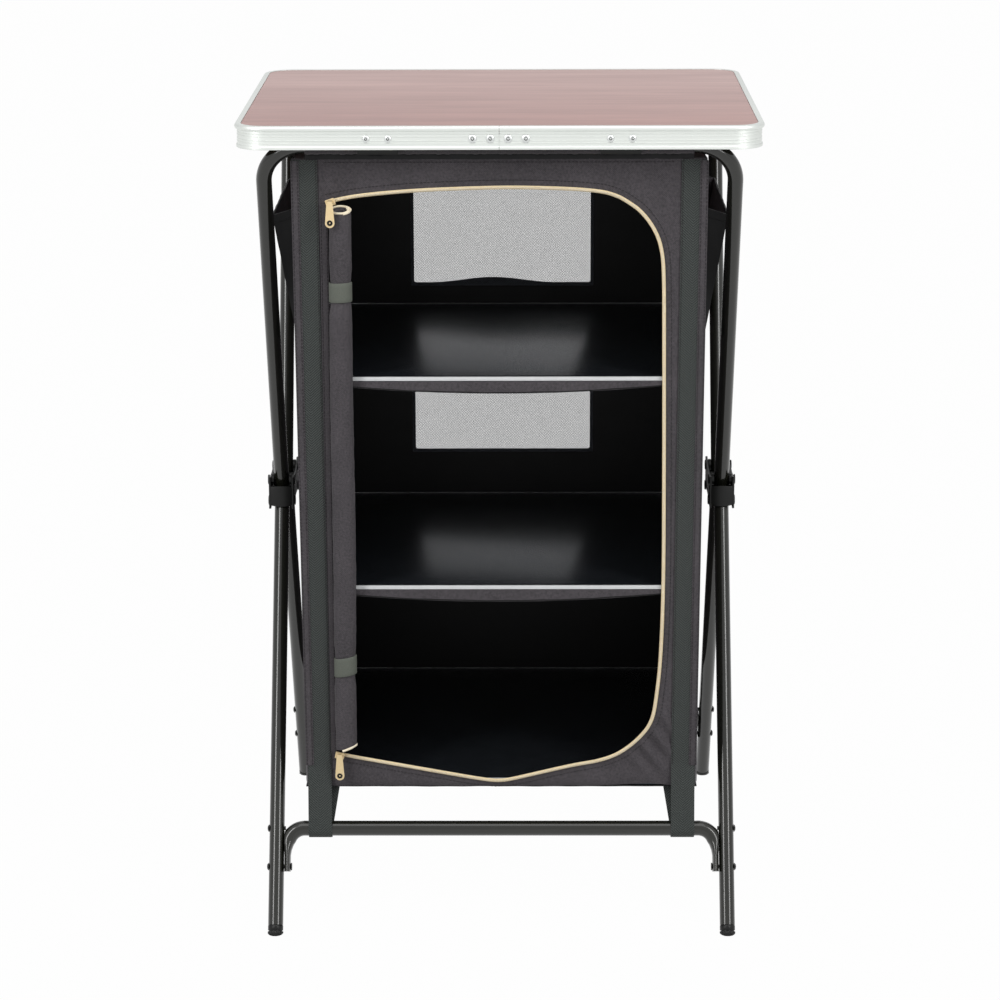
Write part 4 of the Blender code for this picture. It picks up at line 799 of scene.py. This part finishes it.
def side_x(y, z):
    """How far out a side panel's outer face stands."""
    inward = 0.0
    for low, high in ROOMS:
        if low < z < high:
            inward = 0.0016 * sin(pi * (z - low) / (high - low)) + 0.0007 * ripple(y * 18, z * 14, 1.3)
    near_edge = min(max((abs(y) - 0.190) / 0.022, 0.0), 1.0)
    return HALF_WIDTH - inward * (1 - near_edge) + edge_draw(z) * near_edge


heights = sorted(set(steps(FLOOR_LOW, ROOF_TOP, 85)) | {z for room in ROOMS for z in room if z < ROOF_TOP})
for hand, across in SIDES.items():
    rows = [[(across * side_x(y, z), y, z) for y in steps(-0.2128, 0.2128, 60)] for z in heights]
    side_cloth = cloth("cabinet_side_" + hand, net(rows), [oxford, coated], "cabinet", folds=True, flip=across < 0)
print("side panels: 2")

# %% [markdown]
# The roof hangs a little between the bars. The floor is tight under the base board. Each sling starts at the side
# seams just under its board and sags 13 mm in the middle, with a fold sewn along its front edge.

# %% Roof, floor and slings
half = HALF_WIDTH - CLOTH - 0.0002
for name, top, sag, inside, outside, nodes in (("cabinet_roof", ROOF_TOP, 0.0045, oxford, coated, ["cabinet_body"]),
                                               ("cabinet_floor", 0.1627, 0.0, coated, oxford, ()),
                                               ("upper_sling", 0.6587, 0.013, coated, coated, ()),
                                               ("lower_sling", 0.4072, 0.013, coated, coated, ())):
    rows = []
    for y in steps(-0.2126, 0.2126, 40):
        row = [(x, 1 - (x / half) ** 2) for x in steps(-half, half, 61)]
        rows.append([(x, y, top + share * (0.0006 * ripple(x * 20, y * 22, sag * 900) - sag)) for x, share in row])
    span = cloth(name, net(rows), [inside, outside], "cabinet", nodes, folds=True)
for name, top in (("upper", 0.6587), ("lower", 0.4072)):
    rows = [[(x, -0.2122, top - 0.0003 - share * (0.0010 + 0.0135 * (1 - (x / 0.2334) ** 2)))
             for x in steps(-0.2330, 0.2330, 61)] for share in (0.0, 0.35, 0.7, 1.0)]
    cloth("sling_hem_" + name, net(rows), [oxford, coated], "cabinet", folds=True, flip=True)
print("roof, floor, 2 slings and their hems")

# %% [markdown]
# ## The front panel
# The front is one cloth with an arched doorway. Its net runs in rings from the doorway's edge to the panel's own
# edge, so both lines stay crisp. The doorway's line is the zip's, measured on the photograph: a gentle arch with round
# shoulders, a nearly straight right side, and a shallow V at the foot. It is written in tenths of a millimetre.

# %% The doorway's line
def smooth_line(points, pitch=0.006):
    """A flat line that runs smoothly through every point."""
    points = [Vector(p) for p in points]
    made = [points[0]]
    for k in range(len(points) - 1):
        before, a, b, after = points[max(k - 1, 0)], points[k], points[k + 1], points[min(k + 2, len(points) - 1)]
        count = max(1, round((b - a).length / pitch))
        for s in steps(0.0, 1.0, count + 1)[1:]:
            made.append(((-s ** 3 + 2 * s ** 2 - s) * before + (3 * s ** 3 - 5 * s ** 2 + 2) * a
                         + (-3 * s ** 3 + 4 * s ** 2 + s) * b + (s ** 3 - s ** 2) * after) / 2)
    return made


DOOR = smooth_line([(x / 10000, z / 10000) for x, z in (
    (-1976, 8684), (-1644, 8752), (-1131, 8804), (-562, 8834), (119, 8850), (744, 8835), (1140, 8803), (1313, 8758),
    (1427, 8703), (1611, 8568), (1765, 8361), (1847, 8129), (1877, 7800), (1888, 7080), (1902, 5655), (1909, 4201),
    (1889, 3338), (1851, 2841), (1788, 2466), (1640, 2240), (1416, 2056), (1178, 1958), (820, 1886), (343, 1772),
    (104, 1717), (-16, 1702), (-135, 1707), (-374, 1745), (-1089, 1876), (-1685, 1988), (-2045, 2060))])
ZIP = [p for p in DOOR if p.x > -0.1965 or p.y > 0.5]
print("doorway line:", len(DOOR), "points")

# %% [markdown]
# A ring net shoots rays from a middle point. Each ray meets the hole's line and the panel's line, and the net's
# rings are spaced between the two.

# %% Ring net
def ray_hits(line, middle, turns):
    """Where rays from the middle meet a closed line."""
    line, hits = [Vector(p) for p in line], []
    for turn in turns:
        way, best = Vector((cos(turn), sin(turn))), 0.0
        for a, b in zip(line, line[1:] + line[:1]):
            edge, start = b - a, a - middle
            below = way.x * edge.y - way.y * edge.x
            if abs(below) < 1e-12:
                continue
            reach = (start.x * edge.y - start.y * edge.x) / below
            along = (start.x * way.y - start.y * way.x) / below
            if -1e-9 <= along <= 1 + 1e-9:
                best = max(best, reach)
        hits.append(middle + way * best)
    return hits


def ring_net(hole, outline, middle, shares, spacing=0.006):
    """Rings of (x, z) points from the hole to the outline."""
    middle, turns = Vector(middle), set()
    for line in (hole, outline):
        points = [Vector(p) for p in line]
        for a, b in zip(points, points[1:] + points[:1]):
            count = max(1, ceil((b - a).length / spacing))
            for k in range(count):
                p = a.lerp(b, k / count) - middle
                turns.add(round(atan2(p.y, p.x), 4))
    turns = sorted(turns)
    turns = [t for k, t in enumerate(turns) if k == 0 or t - turns[k - 1] > 0.0012]
    near, far = ray_hits(hole, middle, turns), ray_hits(outline, middle, turns)
    return [[a.lerp(b, share) for a, b in zip(near, far)] for share in shares]


print("ring net ready")

# %% [markdown]
# The panel hangs from the sleeve and lies against the sides' front edges. It is smooth, apart from soft folds at
# the lower right, where the real cloth is slack, and a gentle waviness elsewhere.

# %% Front panel
def front_y(x, z):
    """The front panel's outer face: folds at the lower right, small waves elsewhere."""
    y = -HALF_DEPTH + 0.0002 + 0.00035 * ripple(x * 24, z * 17, 0.7)
    reach = hypot((x - 0.176) / 0.048, (z - 0.218) / 0.060)
    if reach < 1:
        fade = min(1.0, min(hypot(x - spot[0], z - spot[1]) for spot in DOOR) / 0.014) ** 2
        y -= 0.0044 * fade * (1 - reach * reach) ** 2 * sin((x * 0.8 + (z - 0.2) * 0.6) * 2 * pi / 0.020)
    return y + 0.0022 * max(0.0, (0.1695 - z) / 0.008) ** 2


foot, head = panel_half(FLOOR_LOW), panel_half(ROOF_TOP)
outline = [(-foot, FLOOR_LOW), (-0.05, FLOOR_LOW), (0.10, FLOOR_LOW + 0.0006), (0.178, FLOOR_LOW + 0.0045),
           (0.205, FLOOR_LOW + 0.0015), (foot, FLOOR_LOW), (head, ROOF_TOP), (-head, ROOF_TOP)]
rows = [[(p.x, front_y(p.x, p.y), p.y) for p in row]
        for row in ring_net(DOOR, outline, (-0.006, 0.53), [0.0, 0.06, 0.14, 0.24, 0.36, 0.5, 0.64, 0.78, 0.9, 1.0])]
front = cloth("front_cloth", net(rows, round_points=True), [oxford, coated], "cabinet_front", ["front_panel"],
              flip=True)
print("front panel:", len(rows[0]), "points in each of", len(rows), "rings")

# %% [markdown]
# The top of each end panel is sewn into a sleeve that runs on the bar. Its cloth is slightly puckered along the
# seam, because the seam is shorter than the cloth it gathers.

# %% Sleeves on the bars
for end, side in ENDS.items():
    rows = []
    for x in steps(-0.2205, 0.2205, 150):
        pucker = 0.00045 * sin(x * 2 * pi / 0.0105 + 1.5 * sin(x * 31)) + 0.0004 * sin(x * 2 * pi / 0.037)
        row = [(x, side * (HALF_DEPTH - 0.0004 + 0.7 * pucker), ROOF_TOP - 0.0005),
               (x, side * (HALF_DEPTH - 0.0004 + pucker), ROOF_TOP + 0.0035)]
        for turn in steps(radians(-64), radians(288), 31):
            radius = min(max(0.0100 + pucker * (0.15 + 0.85 * max(0.0, -sin(turn)) ** 2), 0.0098), 0.0108)
            row.append((x, side * (BAR_Y - radius * cos(turn)), BAR_Z + radius * sin(turn)))
        rows.append(row)
    sleeve = cloth(end + "_sleeve", net(rows), [oxford, coated], "cabinet_" + end, thickness=0.0009, flip=side > 0)
print("sleeves: 2")

# %% [markdown]
# ## The back panel and its windows
# The back has two net windows. Its upper and lower halves are two ring nets, one round each window, that share the
# line between them. The windows' corners are nearly square, and the upper one's sill bulges up, where its cloth is
# slack.

# %% Back panel
WINDOWS, WINDOW_HALF, SHARED_Z = {"upper": (0.691, 0.865), "lower": (0.471, 0.600)}, 0.113, 0.645
for name, (low, high) in WINDOWS.items():
    bottom, top, sill, nodes = FLOOR_LOW, SHARED_Z, [], ()
    if name == "upper":
        bottom, top, nodes = SHARED_Z, ROOF_TOP, ["back_panel"]
        sill = [(x, low + 0.0068 * cos(pi * (x + 0.012) / 0.16) ** 2) for x in steps(-0.09, 0.066, 21)]
    outline = [(-panel_half(bottom), bottom), (panel_half(bottom), bottom), (panel_half(top), top),
               (-panel_half(top), top)]
    rows = [[(p.x, HALF_DEPTH - 0.0002 + 0.0004 * ripple(p.x * 15, p.y * 15, 2.2)
              * min(1.0, abs(p.y - SHARED_Z) / 0.02), p.y) for p in row]
            for row in ring_net(sill + rounded(WINDOW_HALF, low, high, 0.0025, 8), outline, (0.0, (low + high) / 2),
                                [0.0, 0.1, 0.25, 0.45, 0.7, 1.0], spacing=0.010)]
    back = cloth("back_cloth_" + name, net(rows, round_points=True), [oxford, coated], "cabinet_back", nodes)
print("back panel: 2 halves")

# %% [markdown]
# The windows are knitted net, cut on the bias, so their threads run at 45 degrees. A real mesh of crossed strips
# lets the backdrop through as the net does. Real threads are about half a millimetre apart, drawn here 1.5 mm apart
# and 0.46 mm wide, which hides the same share of the light.

# %% Window nets
def window_net(name, low, high):
    """Two layers of slanted threads, trimmed to the window and its seam."""
    seam, step, width, deep = 0.004, 0.0015 * 1.4142, 0.00046, 0.00025
    right, bottom, tall = WINDOW_HALF + seam, low - seam, high - low + 2 * seam
    points, faces = [], []
    for way in (1, -1):
        y = HALF_DEPTH - CLOTH - 0.0006 - (0.0003 if way > 0 else 0.0)
        side = Vector((-way, 1.0)).normalized() * (width / 2)
        section = ((side, 0.0), (-side, 0.0), (-side, deep), (side, deep))
        for k in range(1, int((2 * right + tall) / step)):
            start = k * step - right - tall
            x0, x1 = max(-right, start), min(right, start + tall)
            if x1 - x0 > 0.001:
                solid([[(x + off.x, y + back, bottom + (x - start if way > 0 else start + tall - x) + off.y)
                        for off, back in section] for x in (x0, x1)], points, faces)
    window = build("net_" + name, points, faces, [net_thread], crease=30)
    place(window, "cabinet_back", ["window_mesh_" + name])


for name, (low, high) in WINDOWS.items():
    window_net(name, low, high)
print("window nets: 2")

# %% [markdown]
# ## Ribbons
# Straps, tie bands and hems are ribbons: a flat section carried along a line in one plane. The ribbon keeps its own
# measure, so its ribs follow it round every bend. Stitches and the zip's coil are rows of small six-sided beads.

# %% Ribbon helper
def ribbon(name, line, across, width, thickness, material, pitch=0.004):
    """A flat band along a line. across is the direction of its width, the same all along."""
    line, across, far = resample(line, pitch), Vector(across).normalized(), 0.0
    shares = [-1.0, -0.94, -0.6, -0.2, 0.2, 0.6, 0.94, 1.0]
    ring = [(share, 1) for share in shares] + [(share, -1) for share in reversed(shares)]
    rows, uvs = [], []
    for k, (at, way) in enumerate(zip(line, ways(line))):
        far += (at - line[k - 1]).length if k else 0.0
        out = way.cross(across).normalized() * (thickness / 2)
        rows.append([at + across * (width / 2 * share) + out * (face * (0.55 if abs(share) == 1 else 1.0))
                     for share, face in ring])
        uvs += [(width / 2 * share, far) for share, _ in ring]
    return build(name, *solid(rows), [material], uvs=uvs)


def bead(points, faces, at, along, one, two, profile):
    """A six-sided bead along a direction. Its profile is (share of the length, share of the thickness)."""
    solid([[at + along * far + (one * cos(turn) + two * sin(turn)) * size for turn in full_turn(6)]
           for far, size in profile], points, faces)


def stitches(name, line, out, body, pitch=0.0042, length=0.0028, radius=0.00042):
    """A row of thread beads along a line, lying on the side that out points to."""
    line, out, carry = [Vector(p) for p in line], Vector(out).normalized(), pitch / 2
    points, faces = [], []
    for a, b in zip(line, line[1:]):
        way, far = (b - a).normalized(), (b - a).length
        side = way.cross(out).normalized()
        while carry < far:
            bead(points, faces, a + way * carry + out * radius * 0.5, way * length, side * radius, out * radius,
                 ((-0.5, 0.3), (-0.32, 1.0), (0.32, 1.0), (0.5, 0.3)))
            carry += pitch
        carry -= far
    place(build(name, points, faces, [thread], crease=60), body)


print("ribbon and stitch helpers ready")

# %% [markdown]
# The corner straps run down the panel's edges, leave it at the foot, go round the low bar and come back up under
# the floor. Two rows of stitches fix each to the panel.

# %% Corner straps
STRAP_X, STRAP, STRAP_THICK = 0.220, 0.028, 0.0015


def strap_line(side):
    """The strap's middle line, seen from the side: down the face, round the bar, up behind."""
    face, wrap = HALF_DEPTH + GAP + STRAP_THICK / 2, TUBE + GAP + STRAP_THICK / 2
    bar_y = leg_point(1, LOW_BAR_DOWN).y
    line = [(face, ROOF_TOP - 0.001), (face, 0.190)]
    line += [(bar_y + wrap * cos(turn), LOW_BAR_Z + wrap * sin(turn)) for turn in steps(0.0, radians(-160), 16)]
    return [(side * y, z) for y, z in line + [(HALF_DEPTH - 0.010, FLOOR_LOW - GAP)]]


for end, side, hand, across in CORNERS:
    line = [(across * (STRAP_X + edge_draw(max(z, 0.17))), y, z) for y, z in strap_line(side)]
    line[-1] = (line[-1][0] - across * 0.009, *line[-1][1:])
    strap = ribbon("strap_%s_%s_band" % (end, hand), line, (-side, 0, 0), STRAP, STRAP_THICK, webbing)
    place(strap, "cabinet_" + end, ["strap_%s_%s" % (end, hand)])
    for edge in (-0.0125, 0.0125):
        seam = [(x + edge, side * (HALF_DEPTH + GAP + STRAP_THICK), z) for x, _, z in line[:2]]
        stitches("strap_seam_%s_%s_%s" % (end, hand, "in" if edge * across < 0 else "out"), resample(seam, 0.02),
                 (0, side, 0), "cabinet_" + end)
print("straps: 4")

# %% [markdown]
# A strip of the cabinet's own cloth is sewn over each strap's outer edge, and a narrow placket runs between the left
# strap and the door's roll. Both are single strips with a row of stitches along each edge.

# %% Strap covers and placket
def strip(name, inner, outer, side, body, low, high, lift):
    """An upright strip of cloth on an end panel, from inner to outer, following the panel's taper."""
    rows = []
    for z in steps(low, high, 60):
        draw = edge_draw(z) * (1 if outer > 0 else -1) if abs(outer) > 0.22 else 0.0
        y = side * (HALF_DEPTH + GAP + lift + 0.00025 + 0.00012 * ripple(z * 30, inner * 60, 1.9))
        rows.append([(x + draw, y + side * 0.0004 * (1 - abs(2 * k / 5 - 1)), z)
                     for k, x in enumerate(steps(inner, outer, 6))])
    cloth(name, net(rows), [oxford], body, thickness=0.0007, flip=(side > 0) == (outer > inner))
    for number, share in enumerate((0.16, 0.84), 1):
        seam = [(row[0][0] + (row[-1][0] - row[0][0]) * share, side * (abs(row[2][1]) + 0.0001), row[0][2])
                for row in rows]
        stitches("%s_seam_%d" % (name, number), seam, (0, side, 0), body)


for end, side, hand, across in CORNERS:
    strip("strap_cover_%s_%s" % (end, hand), across * 0.2268, across * 0.2362, side, "cabinet_" + end, 0.190,
          ROOF_TOP - 0.002, 0.0019)
strip("door_placket", -0.2052, -0.1958, -1, "cabinet_front", 0.205, 0.866, 0.0004)
print("strips: 5")

# %% [markdown]
# ## The zip
# A zip is two cloth tapes with a nylon coil along each. The panel's half runs round the doorway: a tape sewn flat,
# and the coil along its inner edge, seen as a row of small bars. The bars are 1.6 mm apart, as on a real No. 5 coil.

# %% Zip tape and coil
COIL_PITCH, FRONT = 0.0016, Vector((0, -1, 0))


def beside(line, distance):
    """A flat line resampled and moved sideways: outwards of the doorway for a positive distance."""
    line = [p.xy for p in resample([(*p, 0) for p in line], 0.004)]
    return [p + Vector((-way.y, way.x)) * distance for p, way in zip(line, ways(line))]


rows = [[(p.x, -HALF_DEPTH - 0.0008, p.y) for p in beside(ZIP, share)] for share in steps(-0.0020, 0.0022, 4)]
cloth("zip_tape_band", net(rows), [zip_cloth], "cabinet_front", ["door_zip"], thickness=0.0006)
line, points, faces = resample([(p.x, -HALF_DEPTH - 0.0020, p.y) for p in ZIP], COIL_PITCH), [], []
for at, way in list(zip(line, ways(line)))[1:-1]:
    bead(points, faces, at, way.cross(FRONT).normalized() * 0.0013, way * 0.00062, FRONT * 0.0010,
         ((-1.0, 0.5), (-0.7, 1.0), (0.7, 1.0), (1.0, 0.5)))
place(build("zip_coil", points, faces, [zip_nylon], crease=60), "cabinet_front")
print("zip: tape and", len(line), "turns of coil")

# %% [markdown]
# The sliders keep their CAD shapes, in lacquered zinc with softened edges. Each pull is a tapered plate with a round
# black eyelet near its foot, and a speck of zinc in the eyelet's middle. A flat arm joins the plate to its hinge on
# the slider, so that the pull stays on when it is lifted.

# %% Sliders and pulls
EYELET = [(0.0, 0.0005), (0.0007, 0.0004), (0.0009, 0.0), (0.0023, 0.0), (0.0026, 0.0004), (0.0031, 0.0004),
          (0.0032, 0.0), (0.0032, -0.0009), (0.0, -0.0009)]
PLATE, HEAD, FOOT_END = 0.0014, 0.0036, 0.0054
for level in ("upper", "lower"):
    refinish("zip_slider_" + level, zinc, edge=0.0003)
    body, node = "zip_pull_" + level, NODES["zip_pull_" + level]
    corners = np.array([node.matrix_world @ v.co for v in node.data.vertices])
    x, y, top, low = corners[:, 0].mean(), corners[:, 1].min(), corners[:, 2].max(), corners[:, 2].min() - 0.0045
    outline = [(x + HEAD * sin(turn), top - HEAD + HEAD * cos(turn)) for turn in steps(-pi / 2, pi / 2, 13)]
    outline += [(x + FOOT_END * sin(turn), low + FOOT_END + FOOT_END * cos(turn))
                for turn in steps(pi / 2, 3 * pi / 2, 19)]
    eye = (x, low + 0.0056)
    hole = [(eye[0] + 0.0030 * cos(turn), eye[1] + 0.0030 * sin(turn)) for turn in full_turn(32)]
    rows = [[(p.x, y, p.y) for p in row] for row in ring_net(hole, outline, eye, [0.0, 0.4, 1.0], 0.0008)]
    cloth("pull_plate_" + level, net(rows, round_points=True), [zinc], body, [body], thickness=-PLATE)
    eyelet = turned("pull_eyelet_" + level, EYELET, (eye[0], y - 0.0001, eye[1]), FRONT, [nylon, zinc],
                    picks=[1, 1, 0, 0, 0, 0, 0, 0])
    place(eyelet, body)
    arm = [(x, corners[:, 1].max(), top - 0.0009), (x, y + PLATE / 2, top - 0.0009)]
    place(ribbon("pull_arm_" + level, arm, (1, 0, 0), 0.0052, PLATE, zinc, pitch=0.0005), body)
print("sliders: 2, pulls: 2, arms: 2")

# %% [markdown]
# ## The rolled door
# The door is rolled up and lies down the left side of the doorway, held by two tie bands. It is softer and fatter
# towards its foot, pinched where it is tied, and its ends show the turns of cloth with the zip's edge among them.

# %% Door roll
ROLL_TOP, ROLL_LOW = Vector((-0.1820, -0.2223, 0.8594)), Vector((-0.1838, -0.2230, 0.2120))
TABS = {"upper": 0.766, "lower": 0.317}
# The turns of cloth at the roll's end: each ring's share of the radius, and how deep it lies.
WINDING = ((0.10, 0.0030), (0.34, 0.0030), (0.36, 0.0), (0.52, 0.0), (0.54, 0.0035), (0.72, 0.0035), (0.74, 0.0),
           (0.95, 0.0002))


def roll_at(z):
    """The roll's middle and radius at a height."""
    share = (ROLL_TOP.z - z) / (ROLL_TOP.z - ROLL_LOW.z)
    radius = 0.0131 + 0.0009 * sin(pi * share)
    for tab in TABS.values():
        radius -= 0.0016 * max(0.0, 1 - (abs(z - tab) / 0.026) ** 2)
    return ROLL_TOP.lerp(ROLL_LOW, share), radius


def roll_point(z, turn, size=1.0, lift=0.0):
    """A point of the roll's skin, slightly wavy, flatter front to back."""
    middle, radius = roll_at(z)
    radius = (radius - GAP + 0.0006 * ripple(turn * 1.2, z * 26, 0.4) - 0.0004) * size
    high, low = max(0.0, (z - 0.83) / 0.03), max(0.0, (0.24 - z) / 0.03)
    tilt = size * (0.0036 * high * sin(turn) + 0.0032 * low * (1 + cos(turn)))
    return Vector((middle.x + 0.00048 * sin(z * 17) + radius * cos(turn), middle.y + radius * 0.65 * sin(turn),
                   z + lift + tilt))


rings_of_roll = [(ROLL_LOW.z, size, lift) for size, lift in WINDING]
rings_of_roll += [(z, 1.0, 0.0) for z in steps(ROLL_LOW.z + 0.002, ROLL_TOP.z - 0.002, 120)]
rings_of_roll += [(ROLL_TOP.z, size, -lift) for size, lift in reversed(WINDING)]
rows = [[roll_point(z, turn, size, lift) for turn in full_turn(56)] for z, size, lift in rings_of_roll]
place(build("rolled_door", *solid(rows), [oxford]), "cabinet_front", ["door_roll"])
print("roll:", len(rows), "rings")

# %% [markdown]
# The door's own half of the zip is rolled up inside it, and its tape shows as a sand-coloured curl at both ends.

# %% Zip curls in the roll
for name, z, first, last, lift, wave_high in (("top", ROLL_TOP.z, -0.4, 2.2, 0.0012, 0.0),
                                              ("foot", ROLL_LOW.z, -0.60, 0.10, -0.0010, 0.0018)):
    line = [roll_point(z, turn, 0.96 - 0.03 * turn, lift + wave_high * cos(turn))
            for turn in steps(first * pi, last * pi, 70)]
    curl = sweep("zip_curl_" + name, line, 0.0014, zip_nylon, sides=10, hollow=False)
    place(curl, "cabinet_front")
print("zip curls: 2")

# %% [markdown]
# The tie bands are pale webbing: each comes from beside the placket, goes round the front of the roll and tucks
# behind it. The lower one sits slightly askew, as in the photograph.

# %% Tie bands
for name, tilt in (("upper", 0.0010), ("lower", 0.0042)):
    z = TABS[name]
    middle, radius = roll_at(z)
    wide, deep = radius + 0.0008, (radius + 0.0008) * 0.65 + 0.0004
    line = [(middle.x - wide * 0.97, middle.y + deep * 0.5, z - tilt / 2)]
    line += [(middle.x + wide * cos(turn), middle.y + deep * sin(turn), z + tilt / 2 * cos(turn))
             for turn in steps(radians(176), 2 * pi, 18)]
    line += [(middle.x + wide * 0.96, middle.y + 0.003, z + tilt / 2)]
    band = ribbon("tie_band_" + name, line, (0, 0, 1), 0.0225, 0.0014, pale_webbing, pitch=0.0015)
    place(band, "cabinet_front", ["tie_tab_" + name])
print("tie bands: 2")

# %% [markdown]
# ## Side pockets
# A pocket hangs on each side. Seen from the front it is a wedge: closed by a narrow gusset at both ends, sewn to the
# side at its foot, and open at the top under an elastic hem. Its cloth is drawn with the coated black face outside and
# the grey one inside, so the front gusset that rises to the cabinet is near black with grey cloth above it. That black
# outside is painted shade for a pocket that lies in shade.

# %% Side pockets
POCKET_LOW, POCKET_TOP, POCKET_OPEN, GUSSET_RISE = 0.677, 0.838, 0.0290, 0.009
gusset = [(-0.1300 + 0.0006 * share, share) for share in steps(0.0, 1.0, 6)]
along = gusset + [(y, 1.0) for y in steps(-0.1280, 0.1280, 54)] + [(-y, share) for y, share in reversed(gusset)]
for hand, across in SIDES.items():
    rows = []
    for z in steps(POCKET_LOW, POCKET_TOP, 28):
        rise = (z - POCKET_LOW) / (POCKET_TOP - POCKET_LOW)
        rows.append([(across * (HALF_WIDTH + GAP + CLOTH + 0.0004
                                + share * rise * (POCKET_OPEN + 0.0005 * ripple(y * 24, z * 30, 3.3))),
                      y, z + GUSSET_RISE * rise * (1 - share)) for y, share in along])
    # The coated black cloth goes outside: painted shade on the pocket's outer faces.
    pocket = cloth("pocket_" + hand, net(rows), [coated, oxford], "cabinet", ["side_pocket_" + hand], folds=True,
                   flip=across < 0)
    hem = ribbon("pocket_hem_" + hand, [(x - across * 0.0006, y, z - 0.004) for x, y, z in rows[-1]], (0, 0, 1), 0.010,
                 0.0022, coated)
    FOLDING.append(place(hem, "cabinet"))
print("side pockets: 2")

# %% [markdown]
# ## Seams
# Real stitches, each a bead of thread, are laid along the seams that show: round the zip's tape and along the
# sleeve.

# %% Seams on the front
stitches("doorway_seam", [(p.x, front_y(p.x, p.y) - 0.0001, p.y) for p in beside(DOOR, 0.0085)], FRONT, "cabinet_front")
stitches("sleeve_seam", [(x, -HALF_DEPTH - 0.0002, ROOF_TOP - 0.004) for x in steps(-0.2, 0.2, 40)], FRONT,
         "cabinet_front")
print("front seams: 2")

# %% [markdown]
# ## Folding
# When the frame folds, the bars come together and the cloth between them crumples. Each cloth that spans them gets
# a mesh of its own here, after its mesh is final.

# %% Folding cloth
for piece in FOLDING:
    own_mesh(piece)
print("folding pieces:", len(FOLDING))

# %% [markdown]
# Any CAD node that still shows without a finish of its own would stand out, so they are listed, and the lesson ends.

# %% Check and finish
finishes = {material.name for material in (melamine, aluminium, nylon, zinc)}
bare = [name for name, node in NODES.items()
        if not node.hide_render and not finishes & {material.name for material in node.data.materials if material}]
print("nodes without a finish:", bare)
